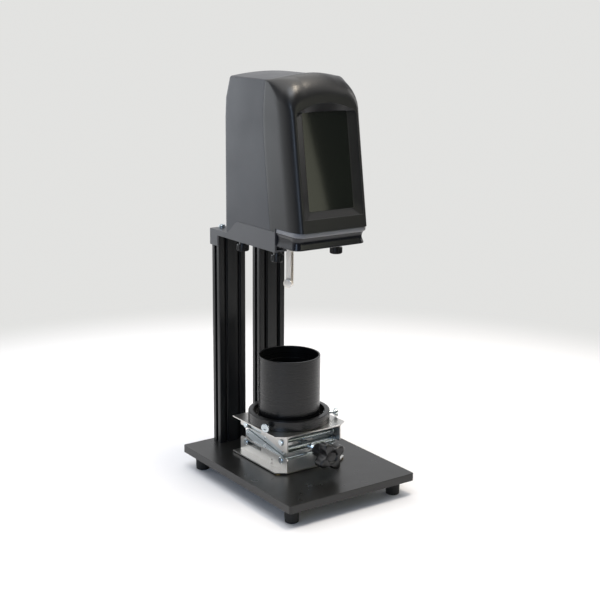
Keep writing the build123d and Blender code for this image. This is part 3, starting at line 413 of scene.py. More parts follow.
def copying_tree(name, inputs, lay_out):
    """A node group that puts the incoming shape on the points that lay_out makes."""
    tree = bpy.data.node_groups.get(name)
    if tree:
        return tree
    tree = bpy.data.node_groups.new(name, "GeometryNodeTree")
    for label, kind, default in (("Shape", "Geometry", None), *inputs, ("Finish", "Material", None)):
        socket = tree.interface.new_socket(label, in_out="INPUT", socket_type="NodeSocket" + kind)
        if default is not None:
            socket.default_value = default
    tree.interface.new_socket("Copies", in_out="OUTPUT", socket_type="NodeSocketGeometry")
    source, result = new_node(tree, "NodeGroupInput"), new_node(tree, "NodeGroupOutput")
    copies = new_node(tree, "GeometryNodeInstanceOnPoints")
    real = new_node(tree, "GeometryNodeRealizeInstances")
    paint = new_node(tree, "GeometryNodeSetMaterial")
    lay_out(tree, source, copies)
    wire(
        tree, (source, "Shape", copies, "Instance"), (copies, "Instances", real, "Geometry"),
        (real, "Geometry", paint, "Geometry"), (source, "Finish", paint, "Material"),
        (paint, "Geometry", result, "Copies"),
    )
    return tree


def grid_tree():
    """Copies of the incoming shape on the corners of a grid."""
    def lay_out(tree, source, copies):
        grid = new_node(tree, "GeometryNodeMeshGrid")
        place = new_node(tree, "GeometryNodeTransform")
        wire(
            tree, (source, "Width", grid, "Size X"), (source, "Depth", grid, "Size Y"),
            (source, "Columns", grid, "Vertices X"), (source, "Rows", grid, "Vertices Y"),
            (grid, "Mesh", place, "Geometry"), (source, "Middle", place, "Translation"),
            (place, "Geometry", copies, "Points"),
        )

    inputs = (("Columns", "Int", 2), ("Rows", "Int", 2), ("Width", "Float", 0.1), ("Depth", "Float", 0.1),
              ("Middle", "Vector", (0, 0, 0)))
    return copying_tree("copies_on_a_grid", inputs, lay_out)


def ring_tree():
    """Copies of the incoming shape turned round the Z axis of its own origin."""
    def lay_out(tree, source, copies):
        points = new_node(tree, "GeometryNodePoints")
        index = new_node(tree, "GeometryNodeInputIndex")
        step = new_node(tree, "ShaderNodeMath")
        step.operation = "DIVIDE"
        step.inputs[0].default_value = 2 * math.pi
        turn = new_node(tree, "ShaderNodeMath")
        turn.operation = "MULTIPLY"
        aim = new_node(tree, "ShaderNodeCombineXYZ")
        wire(
            tree, (source, "Count", points, "Count"), (source, "Count", step, 1), (step, "Value", turn, 0),
            (index, "Index", turn, 1), (turn, "Value", aim, "Z"), (points, "Points", copies, "Points"),
            (aim, "Vector", copies, "Rotation"),
        )

    return copying_tree("copies_round_an_axis", (("Count", "Int", 12),), lay_out)


def copied(made, tree, **values):
    """Run a copying tree on the object with its inputs set, and keep the result as plain mesh."""
    change = made.modifiers.new("copies", "NODES")
    change.node_group = tree
    sockets = {item.name: item.identifier for item in tree.interface.items_tree if item.in_out == "INPUT"}
    for name, value in values.items():
        change[sockets[name]] = value
    return baked(made)


def moved(made, matrix):
    """Put a mesh built round the origin, in millimetres, in its place."""
    placed = matrix.copy()
    placed.translation = matrix.translation * MM
    made.data.transform(placed)


def absorbed(made, other):
    """Join another mesh into this one."""
    bm = bmesh.new()
    bm.from_mesh(made.data)
    bm.from_mesh(other.data)
    bpy.data.objects.remove(other)
    bm.to_mesh(made.data)
    bm.free()


def ribbed(made, rib, count, key, place):
    """Repeat a rib round an object built on the origin, then put both in their place."""
    copied(rib, ring_tree(), Count=count, Finish=finish(key))
    absorbed(made, rib)
    moved(made, place)


def at_corners(made, name, width, key):
    """Copies of a foot of this width at the four corners of a CAD node's box."""
    low, high = node_box(name)
    copied(made, grid_tree(), Columns=2, Rows=2, Width=(high.x - low.x - width) * MM,
           Depth=(high.y - low.y - width) * MM, Middle=(0, (low.y + high.y) / 2 * MM, 0), Finish=finish(key))


# ------------------------------------------------------------------ finishes
class Finish:
    """A node material: a base colour with procedural mottling, roughness and relief."""

    def __init__(self, name, rough=0.5, metal=0.0, coat=0.0, coat_rough=0.1, specular=0.5):
        self.material = bpy.data.materials.new(name)
        self.material.use_nodes = True
        self.tree = self.material.node_tree
        self.shader = self.tree.nodes["Principled BSDF"]
        for socket, value in (("Roughness", rough), ("Metallic", metal), ("Coat Weight", coat),
                              ("Coat Roughness", coat_rough), ("Specular IOR Level", specular)):
            self.shader.inputs[socket].default_value = value
        self.place = new_node(self.tree, "ShaderNodeTexCoord").outputs["Object"]

    def drive(self, socket, output):
        self.tree.links.new(output, self.shader.inputs[socket])

    def stretched(self, scale, turn=(0, 0, 0)):
        mapping = new_node(self.tree, "ShaderNodeMapping", Scale=scale, Rotation=turn)
        self.tree.links.new(self.place, mapping.inputs["Vector"])
        return mapping.outputs["Vector"]

    def noise(self, scale, detail=3.0, vector=None):
        noise = new_node(self.tree, "ShaderNodeTexNoise", Scale=scale, Detail=detail, Roughness=0.5)
        self.tree.links.new(vector or self.place, noise.inputs["Vector"])
        return noise.outputs["Fac"]

    def tint(self, factor, dark, light):
        """Colour that runs from dark to light over the middle of the pattern's range."""
        ramp = new_node(self.tree, "ShaderNodeValToRGB")
        for stop, position, shade in zip(ramp.color_ramp.elements, (0.3, 0.7), (dark, light)):
            stop.position = position
            stop.color = (*shade, 1)
        self.tree.links.new(factor, ramp.inputs["Fac"])
        self.drive("Base Color", ramp.outputs["Color"])

    def gloss(self, factor, low, high, start=0.3, end=0.7):
        """Roughness that runs from low to high between two levels of the pattern."""
        remap = ramp_node(self.tree, start, end, low, high)
        self.tree.links.new(factor, remap.inputs["Value"])
        self.drive("Roughness", remap.outputs["Result"])

    def relief(self, factor, depth, strength):
        bump = new_node(self.tree, "ShaderNodeBump", Strength=strength, Distance=depth * MM)
        self.tree.links.new(factor, bump.inputs["Height"])
        self.drive("Normal", bump.outputs["Normal"])


def shades(base, spread):
    """A darker and a lighter shade of a colour."""
    return [c * (1 - spread) for c in base], [c * (1 + spread) for c in base]


def powder_paint(name, base, rough, grain=900, depth=0.05, spread=0.12):
    """Sprayed paint with fine orange peel and soft handling marks."""
    made = Finish(name, rough)
    made.tint(made.noise(14, 4), *shades(base, spread))
    made.gloss(made.noise(40, 3), rough - 0.02, rough + 0.03)
    made.relief(made.noise(grain, 2), depth, 0.35)
    return made.material


def moulded(name, base, rough, grain=1400, depth=0.03, coat=0.0, coat_rough=0.1):
    """Moulded plastic with a fine pebble and slight gloss changes."""
    made = Finish(name, rough, coat=coat, coat_rough=coat_rough)
    made.tint(made.noise(9, 3), *shades(base, 0.06))
    made.gloss(made.noise(25, 4), rough - 0.04, rough + 0.05)
    made.relief(made.noise(grain, 2), depth, 0.3)
    return made.material


def anodised(name, base, rough, stretch, depth=0.02):
    """Anodised metal with the faint lines of its extrusion or turning."""
    made = Finish(name, rough, specular=0.45)
    lines = made.noise(1.0, 2, made.stretched(stretch))
    made.tint(made.noise(20, 3), *shades(base, 0.15))
    made.gloss(lines, rough - 0.06, rough + 0.08)
    made.relief(lines, depth, 0.25)
    return made.material


def plated(name, base, rough, stretch=(60, 900, 900), cloud=25, spread=0.04, depth=0.001):
    """Plated or bare metal with fine drawn lines and dull patches."""
    made = Finish(name, rough, metal=1.0)
    lines = made.noise(1.0, 2, made.stretched(stretch))
    patch = made.noise(cloud, 3)
    made.tint(patch, *shades(base, spread))
    made.gloss(patch, max(0.04, rough - 0.02), rough + 0.03)
    if depth:
        made.relief(lines, depth, 0.15)
    return made.material


def rubber(name, base):
    made = Finish(name, 0.75, specular=0.3)
    made.tint(made.noise(60, 4), *shades(base, 0.25))
    made.relief(made.noise(1800, 2), 0.05, 0.4)
    return made.material


def screen_glass(name, base):
    """Black glass with a faint olive cast and fine dust."""
    made = Finish(name, 0.06)
    made.tint(made.noise(6, 2), base, [base[0] * 1.3, base[1] * 1.4, base[2] * 1.1])
    made.gloss(made.noise(2600, 1), 0.05, 0.16, 0.6, 0.75)
    return made.material


def circuit_board(name):
    """Green board with lighter tracks."""
    made = Finish(name, 0.35, coat=0.4)
    cells = new_node(made.tree, "ShaderNodeTexBrick", Scale=120, Color1=(0.01, 0.10, 0.035, 1),
                     Color2=(0.012, 0.13, 0.045, 1), Mortar=(0.03, 0.20, 0.08, 1))
    made.tree.links.new(made.stretched((1, 1, 1), (math.pi / 2, 0, 0)), cells.inputs["Vector"])
    made.drive("Base Color", cells.outputs["Color"])
    made.relief(cells.outputs["Fac"], 0.05, 0.3)
    return made.material


FINISHES = {}


def finish(key):
    """Build each finish once, from the colours in the sidebar."""
    if key in FINISHES:
        return FINISHES[key]
    c = bpy.context.scene.viscometer_colours
    turned = (3, 3, 700)
    makers = {
        "base_paint": lambda: powder_paint("base_paint", c.base_paint[:], 0.29, 1100, 0.003, 0.03),
        "posts": lambda: anodised("post_anodised", c.post_black[:], 0.34, (500, 500, 4)),
        "cups": lambda: anodised("cup_anodised", c.cup_black[:], 0.28, turned),
        "cup_inside": lambda: anodised("sample_cup_anodised", [v * 0.9 for v in c.cup_black], 0.3, turned),
        "bracket": lambda: powder_paint("bracket_paint", c.bracket_grey[:], 0.42, 1300, 0.02, 0.06),
        # The lip is the bracket's grey lightened threefold: a painted highlight for the light that its upward
        # face catches.
        "lip": lambda: powder_paint("lip_paint_painted_highlight", [v * 3.0 for v in c.bracket_grey], 0.36, 1300, 0.02, 0.06),
        "casting": lambda: powder_paint("casting_paint", c.casting_black[:], 0.22, 700, 0.03, 0.1),
        "rear_cover": lambda: moulded("rear_cover_plastic", c.cover_grey[:], 0.42, 1500, 0.03),
        "front_cover": lambda: moulded("front_cover_plastic", c.cover_black[:], 0.36, 1500, 0.02),
        "glass": lambda: screen_glass("screen_glass", c.glass_black[:]),
        "display": lambda: moulded("display_frame", (0.012, 0.012, 0.012), 0.5),
        "nickel": lambda: plated("table_nickel", c.nickel[:], 0.30, depth=0.0),
        "arm_zinc": lambda: plated("arm_zinc", [v * 0.86 for v in c.zinc], 0.30, (900, 60, 900)),
        "zinc": lambda: plated("zinc_plate", c.zinc[:], 0.26, (700, 700, 700), 60, 0.12),
        "rod_zinc": lambda: plated("rod_zinc", c.zinc[:], 0.18, (30, 900, 900), 40, 0.08),
        "link_steel": lambda: plated("link_steel", c.link_steel[:], 0.46, (700, 700, 30), 80, 0.06),
        "brass": lambda: plated("table_brass", c.brass[:], 0.22, (700, 700, 700)),
        "spring_steel": lambda: plated("spring_steel", (0.32, 0.34, 0.42), 0.25),
        "inner_metal": lambda: plated("inner_metal", (0.6, 0.6, 0.61), 0.35),
        "knobs": lambda: moulded("knob_plastic", c.knob_black[:], 0.30, 1200, 0.03, 0.3, 0.2),
        "rubber": lambda: rubber("foot_rubber", c.rubber_black[:]),
        "socket": lambda: moulded("socket_plastic", (0.012, 0.012, 0.012), 0.5),
        "board": lambda: circuit_board("circuit_board"),
        "motor": lambda: powder_paint("motor_paint", (0.02, 0.02, 0.022), 0.5),
    }
    FINISHES[key] = makers[key]()
    return FINISHES[key]


def keep_nodes(key, *names):
    """CAD nodes that stay in view get their finish."""
    for name in names:
        dress(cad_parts[name], key)


# ------------------------------------------------------------------ stand
class PieceOperator:
    bl_options = {"REGISTER", "UNDO"}

    def execute(self, context):
        self.build(context.scene)
        return {"FINISHED"}


class VISCO_OT_base_plate(PieceOperator, bpy.types.Operator):
    """Make the painted base plate and its rubber feet"""

    bl_idname = "viscometer.base_plate"
    bl_label = "Base plate and feet"

    def build(self, scene):
        sizes = scene.viscometer_stand
        plate = Shape().prism(rounded(BASE_HIGH.x, BASE_HIGH.y, 3.0), BASE_LOW.z, BASE_HIGH.z)
        sinks = Shape()
        low, high = node_box("post_screws")
        post_y = (low.y + high.y) / 2
        radius, depth = 4.4, 4.6
        for side in (-1, 1):
            for step in (-SCREW_PITCH / 2, SCREW_PITCH / 2):
                x = side * (high.x - SCREW_HEAD - SCREW_PITCH / 2) + step
                sinks.rod(radius, BASE_LOW.z - 1, BASE_LOW.z + depth, 32, upright(x, post_y))
        complete("base_plate_painted", plate, "base_paint", "stand", "black_paint",
                 ("base_plate",), sizes.plate_edge / MM, 3, sinks)
        self.feet(sizes)
        keep_nodes("zinc", "foot_screws")

    def feet(self, sizes):
        taper = sizes.foot_taper / MM
        foot = Shape().revolve([
            (0, 13.0), (5.0, 13.0), (5.0, 0.5), (5.4, 0.0), (8.3 - taper, 0.0), (8.9 - taper, 0.6),
            (9.0 - taper * 0.6, 6.0), (9.0, 18.8), (8.7, 19.7), (8.2, 20.0), (0, 20.0),
        ], 48).object("rubber_feet_moulded")
        at_corners(foot, "rubber_feet", 18.0, "rubber")
        fit(foot, "rubber", "stand", "foot_rubber", "rubber_feet")


def post_outline(half_w, half_d, sizes, pitch=10.0, radius=1.2):
    """Section of a post: a rounded bar with T-slots, two on each wide face and one on each edge."""
    mouth, wide = sizes.slot_opening / MM / 2, sizes.slot_cavity / MM / 2
    lip, deep = sizes.slot_lip / MM, sizes.slot_depth / MM

    def side(half_run, half_out, centres):
        """Points along one side, running to +run, with the outside at -out."""
        points = []
        for step in range(4):
            angle = math.pi / 2 * step / 4
            points.append((-half_run + radius - radius * math.cos(angle),
                           -half_out + radius - radius * math.sin(angle)))
        for centre in centres:
            out = -half_out
            points += [
                (centre - mouth - 0.3, out), (centre - mouth, out + 0.3), (centre - mouth, out + lip),
                (centre - wide, out + lip), (centre - wide, out + deep - 0.8),
                (centre - wide + 0.8, out + deep), (centre + wide - 0.8, out + deep),
                (centre + wide, out + deep - 0.8), (centre + wide, out + lip),
                (centre + mouth, out + lip), (centre + mouth, out + 0.3), (centre + mouth + 0.3, out),
            ]
        return points

    front = side(half_w, half_d, (-pitch, pitch))
    right = [(-y, x) for x, y in side(half_d, half_w, (0,))]
    back = [(-x, -y) for x, y in front]
    left = [(-x, -y) for x, y in right]
    return front + right + back + left


class VISCO_OT_posts(PieceOperator, bpy.types.Operator):
    """Make the two T-slot posts and the screws at their ends"""

    bl_idname = "viscometer.posts"
    bl_label = "Posts"

    def build(self, scene):
        sizes = scene.viscometer_stand
        for name in ("left_post", "right_post"):
            low, high = node_box(name)
            centre = (low + high) / 2
            outline = post_outline((high.x - low.x) / 2, (high.y - low.y) / 2, sizes)
            outline = [(x + centre.x, y + centre.y) for x, y in outline]
            post = Shape().prism(outline, low.z, high.z)
            bores = Shape()
            for step in (-SCREW_PITCH / 2, SCREW_PITCH / 2):
                bores.rod(2.1, low.z - 1, high.z + 1, 20, upright(centre.x + step, centre.y))
            complete(name + "_extrusion", post, "posts", "stand", "black_anodised", (name,),
                     0.18, 1, bores)
        self.screws()

    def screws(self):
        """Socket screws on the shelf, and their fellows under the plate."""
        low, high = node_box("post_screws")
        head, foot = high.z, low.z
        upper = Shape().revolve([
            (0, head - 16.0), (2.0, head - 16.0), (2.0, head - 4.5), (4.0, head - 4.5), (4.2, head - 4.2),
            (4.2, head - 0.5), (3.8, head), (2.1, head), (2.1, head - 2.4), (0, head - 2.7),
        ], 28).object("shelf_screws")
        lower = Shape().revolve([
            (0, foot + 2.4), (2.1, foot + 2.2), (2.1, foot), (3.8, foot), (4.2, foot + 0.4),
            (4.2, foot + 4.3), (2.0, foot + 4.4), (2.0, foot + 24.0), (0, foot + 24.0),
        ], 28).object("plate_screws")
        pair = Vector((high.x - SCREW_HEAD - SCREW_PITCH / 2, (low.y + high.y) / 2, 0)) * MM
        for screw in (upper, lower):
            copied(screw, grid_tree(), Columns=2, Rows=1, Width=SCREW_PITCH * MM, Depth=0.0,
                   Finish=finish("zinc"))
            copied(screw, grid_tree(), Columns=2, Rows=1, Width=pair.x * 2, Depth=0.0,
                   Middle=(0, pair.y, 0), Finish=finish("zinc"))
        absorbed(upper, lower)
        fit(upper, "zinc", "stand", "zinc_steel", "post_screws")


class VISCO_OT_bracket(PieceOperator, bpy.types.Operator):
    """Make the folded bracket that carries the head"""

    bl_idname = "viscometer.bracket"
    bl_label = "Bracket"

    def build(self, scene):
        sheet, post_depth, arm_rise, shelf_rise = 2.5, 18.0, 18.0, 7.0
        high = SHELF_HIGH
        shelf_top = high.z - arm_rise
        floor, tab = shelf_top - shelf_rise, SHELF_LOW.z
        outer, inner = high.x, high.x - sheet
        back, front = high.y, SHELF_LOW.y
        post_front = back - post_depth
        curve_high, curve_low = back - 68.5, back - 37.5
        shelf_front, flange_rear, flange_width = back - 36.0, back - 34.0, 15.0
        side = [(front, floor), (front, high.z)]
        for step in range(17):
            share = step / 16
            side.append((curve_high + (curve_low - curve_high) * share,
                         high.z + (shelf_top - high.z) * smooth(share)))
        side += [(back, shelf_top), (back, tab), (post_front, tab), (post_front, floor)]
        arm = Shape().prism(side, inner, outer, "X").object("head_bracket_folded")
        join_on(arm, Shape().prism(side, -outer, -inner, "X"))
        join_on(arm, Shape().block(-inner - 1, inner + 1, shelf_front, back, shelf_top - sheet, shelf_top))
        for sign in (-1, 1):
            x0, x1 = sorted((sign * (inner + 1), sign * (inner - flange_width)))
            join_on(arm, Shape().block(x0, x1, front, flange_rear, floor, floor + sheet))
        holes = Shape()
        for name in CLAMP_CORNERS:
            centre = middle("clamp_knob_" + name)
            holes.rod(2.8, floor - 1, floor + 4, 24, upright(centre.x, centre.y))
        carve(arm, holes)
        soften(arm, scene.viscometer_stand.bracket_fold / MM, 2)
        fit(arm, "bracket", "stand", "head_grey", "head_bracket")


# ------------------------------------------------------------------ head
def arch_points(half, side_top, rise, radius, low=0.0, wall_steps=8, corner_steps=8, top_steps=24):
    """Open outline from the left foot over the top to the right foot, as (x, height)."""
    half_chord = half - radius
    bow = (half_chord ** 2 + rise ** 2) / (2 * rise)
    left = [(-half, low + (side_top - radius - low) * step / wall_steps) for step in range(wall_steps)]
    for step in range(corner_steps + 1):
        angle = math.pi / 2 * step / corner_steps
        left.append((-half + radius * (1 - math.cos(angle)), side_top - radius * (1 - math.sin(angle))))
    top = []
    for step in range(1, top_steps):
        x = -half_chord + 2 * half_chord * step / top_steps
        top.append((x, side_top + rise - bow + math.sqrt(bow ** 2 - x ** 2)))
    return left + top + [(-x, z) for x, z in reversed(left)]


def arc_from(start, end, slope):
    """The function y(z) of a circle through two (z, y) points with the given slope at the first."""
    dz, dy = end[0] - start[0], end[1] - start[1]
    size = math.hypot(1, slope)
    normal = (-slope / size, 1 / size)
    radius = (dz * dz + dy * dy) / (2 * (dz * normal[0] + dy * normal[1]))
    centre = (start[0] + normal[0] * radius, start[1] + normal[1] * radius)
    sign = -1 if radius > 0 else 1

    def y(z):
        return centre[1] + sign * math.sqrt(max(0.0, radius ** 2 - (z - centre[0]) ** 2))

    return y


# Heights above the deck at which the seam and the back start to curve, and the height where both end.
SEAM_KNEE, REAR_KNEE, CROWN = 100.5, 128.0, 183.5
SEAM_LOW, SEAM_BEND, SEAM_TOP = REAR_Y - 100.5, REAR_Y - 87.5, REAR_Y - 93.0
SEAM_SLOPE = (SEAM_BEND - SEAM_LOW) / SEAM_KNEE
SEAM_GAP = 0.2
REAR_TOP = REAR_Y - 19.0
ROOF, ROOF_BOW = 178.0, 4.5
SKIRT_LOW = SHELF_HIGH.z + 0.3 - DECK
SKIRT_RUN, SKIRT_DROP = 31.0, 18.0
# Depths behind the face: the end of its rounding, the step in the sides and the seam at the foot.
FACE_ROUND, SKIRT_DEPTH, SEAM_DEPTH = 36.0, 47.9, 59.5
FACE_WALL = 5.0
MOUTH_LOW, MOUTH_HIGH = 15.1, 139.5
WINDOW_LOW, WINDOW_HIGH = 23.2, 136.6

seam_curve = arc_from((SEAM_KNEE, SEAM_BEND), (CROWN, SEAM_TOP), SEAM_SLOPE)
rear_curve = arc_from((REAR_KNEE, REAR_Y), (CROWN, REAR_TOP), 0.0)


def seam_y(height):
    """Where the two covers part, at a height above the deck."""
    return SEAM_LOW + SEAM_SLOPE * height if height <= SEAM_KNEE else seam_curve(height)


def rear_y(height):
    return REAR_Y if height <= REAR_KNEE else rear_curve(height)


def skirt_low(y):
    """How far below the deck the covers' sides reach, just clear of the bracket's curved edge."""
    return SKIRT_LOW - SKIRT_DROP * smooth((y - (REAR_Y - SKIRT_RUN)) / SKIRT_RUN)


def eased(size, depth, run):
    """How far an elliptical edge has come in at this depth."""
    return 0.0 if depth >= run else size * (1 - math.sqrt(1 - (1 - depth / run) ** 2))


class FrontForm:
    """The leaning front cover: its outline at each depth behind the face."""

    def __init__(self, sizes):
        self.lean = sizes.lean
        self.face = -sizes.face_y / MM
        self.sizes = sizes

    def at(self, x, height, depth):
        return (x, self.face + depth + self.lean * height, DECK + height)

    def outline(self, depth, inset=0.0, setback=0.0, low=0.0):
        s = self.sizes
        into = depth - setback
        side = eased(s.side_round / MM, into, s.side_run / MM)
        half = HEAD_HALF - inset - side
        swell = smooth((42.0 - into) / 26.0)
        radius = 2.5 + (s.shoulder / MM - 2.5) * swell - side
        peak = ROOF + (CROWN - ROOF) * swell - eased(s.top_round / MM, into, s.top_run / MM) - inset
        return arch_points(half, peak - ROOF_BOW, ROOF_BOW, max(radius, 1.0), low)

    def row(self, depth, inset, setback):
        return [self.at(x, z, depth) for x, z in self.outline(depth, inset, setback)]

    def seam_row(self, start, share, gap, inset, setback):
        """A row part of the way from a fixed depth to the seam, which each point meets at its own depth."""
        low = SKIRT_LOW if start + (SEAM_DEPTH - start) * share > SKIRT_DEPTH else 0.0
        points = []
        for index, (x, z) in enumerate(self.outline(60.0, inset, setback, low)):
            depth = start
            for _ in range(4):
                height = self.outline(depth, inset, setback, low)[index][1]
                depth = seam_y(height) - gap - self.face - self.lean * height
            goal = start + (depth - start) * share
            x, z = self.outline(goal, inset, setback, low)[index]
            points.append(self.at(x, z, goal))
        return points

    def recess(self, share, grow, depth):
        """Closed outline of the screen recess: share 0 is its mouth and share 1 the window."""
        s = self.sizes
        half = (s.opening + (s.window - s.opening) * share) / MM / 2 + grow
        low = MOUTH_LOW + (WINDOW_LOW - MOUTH_LOW) * share - grow
        side_top = MOUTH_HIGH + (WINDOW_HIGH - MOUTH_HIGH) * share + grow
        rise = 7.5 + (0.5 - 7.5) * share
        radius = max(1.5, 8.0 - 6.5 * share) + grow
        arch = arch_points(half, side_top - low, rise, radius)
        foot = [(half - 2 * half * step / 16, 0.0) for step in range(1, 16)]
        return [self.at(x, low + z, depth) for x, z in arch + foot]


def front_shell(form, wall):
    """The front cover as one closed skin: outside, recess, inside and the edges between them."""
    shape = Shape()
    steps = 16
    depths = [FACE_ROUND * (1 - math.cos(math.pi / 2 * step / steps)) for step in range(steps + 1)]

    def loops(inset, setback, ends):
        """Rows to the seam, with a step where the sides drop behind the casting's lip."""
        start = FACE_ROUND + setback
        run, before, after = SEAM_DEPTH - start, SKIRT_DEPTH - 0.1, SKIRT_DEPTH + 0.1
        shares = [0.25 * (before - start) / run] + [(d - start) / run for d in (before, after, after + 6.0)]
        rows = [form.row(setback + depth, inset, setback) for depth in depths]
        rows += [form.seam_row(start, share, SEAM_GAP, inset, setback) for share in shares]
        rows += [form.seam_row(start, 1.0, gap, edge, setback) for gap, edge in ends]
        return [shape.loop(row) for row in rows]

    outer = loops(0.0, 0.0, ((SEAM_GAP + form.sizes.seam / MM, 0.0), (SEAM_GAP, 0.15)))
    inner = loops(wall, FACE_WALL, ((SEAM_GAP + 1.0, wall), (SEAM_GAP, wall)))

    def foot(row):
        first, last = Vector(row[-1].co), Vector(row[0].co)
        return shape.loop([first.lerp(last, step / 16) for step in range(1, 16)])

    outer_foot, inner_foot = foot(outer[0]), foot(inner[0])
    ring = outer[0] + outer_foot
    for share, grow, depth in ((0, 1.0, 0.0), (0, 0.45, 0.12), (0, 0.12, 0.42), (0.0, 0.0, 0.9),
                               (0.5, 0, 2.9), (0.92, 0, 4.55), (1.0, 0.0, 4.7), (1.0, 0.0, 4.9)):
        following = shape.loop(form.recess(share, grow, depth))
        shape.bridge(ring, following)
        ring = following
    shape.bridge(ring, inner[0] + inner_foot)
    close_shell(shape, outer, inner, outer_foot, inner_foot, reverse=True)
    return shape


def close_shell(shape, outer, inner, outer_foot, inner_foot, reverse=False):
    """Skin over matching outer and inner rows, and close the seam and the underside between them."""
    for rows in (outer, inner):
        shape.skin(rows, closed=False)
    seam = -1 if reverse else 0
    shape.bridge(outer[seam], inner[seam], closed=False)

    def underside(rows, foot_verts):
        left, right = [r[0] for r in rows], [r[-1] for r in rows]
        if reverse:
            return list(reversed(left)) + list(reversed(foot_verts)) + right
        return left + foot_verts + list(reversed(right))

    shape.bridge(underside(outer, outer_foot), underside(inner, inner_foot), closed=False)


def rear_shell(wall, chamfer):
    """The rear cover as one closed skin, rounded where the roof and sides meet the back."""
    shape = Shape()
    shares = (0.0, 0.0, 0.3, 0.62, 0.72, 0.76, 0.80, 0.84, 0.88, 0.92, 0.96, 1.0)

    def row(inset, share, away, ahead=0.0):
        """A row at a share of the way back; away keeps it off the back wall."""
        y_low = seam_y(0.0) + (rear_y(0.0) - away - seam_y(0.0)) * share
        radius = max(0.8, 2.5 - inset * 0.3)
        points = arch_points(HEAD_HALF - inset, ROOF - ROOF_BOW - inset, ROOF_BOW, radius, skirt_low(y_low))
        return [(x, seam_y(z) + (rear_y(z) - away - seam_y(z)) * share + ahead, DECK + z) for x, z in points]

    def rows(inset, radius, edge):
        places = [(inset, share, inset + radius) for share in shares]
        for step in range(1, 6):
            angle = math.pi / 2 * step / 5
            across, back = (inset + radius * (1 - turn(angle)) for turn in (math.cos, math.sin))
            places.append((across, 1.0, back))
        made = [row(*place) for place in places]
        made[:2] = [row(inset + edge, 0.0, inset + radius), row(inset, 0.0, inset + radius, chamfer)]
        return [shape.loop(points) for points in made]

    def close_back(loop):
        """Fill the back with level rows between the two sides, up to the roof. Gives the lowest row."""
        corner = 16
        columns = len(loop) - 2 * corner - 1
        left, right = loop[:corner], list(reversed(loop))[:corner]
        levels = []
        for a, b in zip(left, right):
            between = [Vector(a.co).lerp(Vector(b.co), step / columns) for step in range(1, columns)]
            levels.append([a] + shape.loop(between) + [b])
        levels.append(loop[corner:len(loop) - corner])
        return shape.skin(levels, closed=False)[0][1:-1]

    outer, inner = rows(0.0, 3.0, 0.15), rows(wall, 1.2, 0.0)
    close_shell(shape, outer, inner, close_back(outer[-1]), close_back(inner[-1]))
    return shape


class VISCO_OT_covers(PieceOperator, bpy.types.Operator):
    """Make the leaning front cover and the rear cover"""

    bl_idname = "viscometer.covers"
    bl_label = "Head covers"

    def build(self, scene):
        sizes = scene.viscometer_head
        wall = sizes.wall / MM
        front = front_shell(FrontForm(sizes), wall).object("front_cover_moulded")
        fit(front, "front_cover", "stand", "front_gloss", "front_cover", angle=COVER_ANGLE)
        rear = rear_shell(wall, sizes.seam / MM).object("rear_cover_moulded")
        self.cut_panel(rear, wall)
        fit(rear, "rear_cover", "stand", "cover_grey", "rear_cover", angle=COVER_ANGLE)

    def cut_panel(self, rear, wall):
        y0, y1 = REAR_Y - wall - 1, REAR_Y + 1
        for name, flange in (("power_inlet", 2.8), ("power_switch_housing", 1.4), ("data_port", -0.2)):
            low, high = node_box(name)
            carve(rear, Shape().block(low.x + flange, high.x - flange, y0, y1,
                                      low.z + flange, high.z - flange))
        count, pitch, half_width, radius, top = 6, 7.0, 23.0, 1.3, DECK + 124.0
        for index in range(count):
            z = top - (index + 1) * pitch + radius
            ends = (-half_width + radius, z), (half_width - radius, z)
            carve(rear, Shape().prism(capsule(*ends, radius, 8), y0 - 1, y1, "Y"))


class VISCO_OT_screen(PieceOperator, bpy.types.Operator):
    """Make the touch screen's glass and finish the parts behind it"""

    bl_idname = "viscometer.screen"
    bl_label = "Touch screen"

    def build(self, scene):
        sizes = scene.viscometer_head
        form = FrontForm(sizes)
        border, corner = 4.0, 2.0
        half = sizes.window / MM / 2 + border
        low, high = WINDOW_LOW - border, WINDOW_HIGH + border
        rings = []
        for depth, inset in ((0.0, 0.3), (0.15, 0.0), (1.35, 0.0), (1.5, 0.3)):
            outline = rounded(half - inset, (high - low) / 2 - inset, corner, (0, (low + high) / 2))
            rings.append([form.at(x, z, FACE_WALL + depth) for x, z in outline])
        complete("touch_screen_glass", Shape().stack(rings), "glass", "stand", "screen_glass",
                 ("touch_screen",))
        keep_nodes("display", "display_panel")
        keep_nodes("board", "main_board", "power_board")


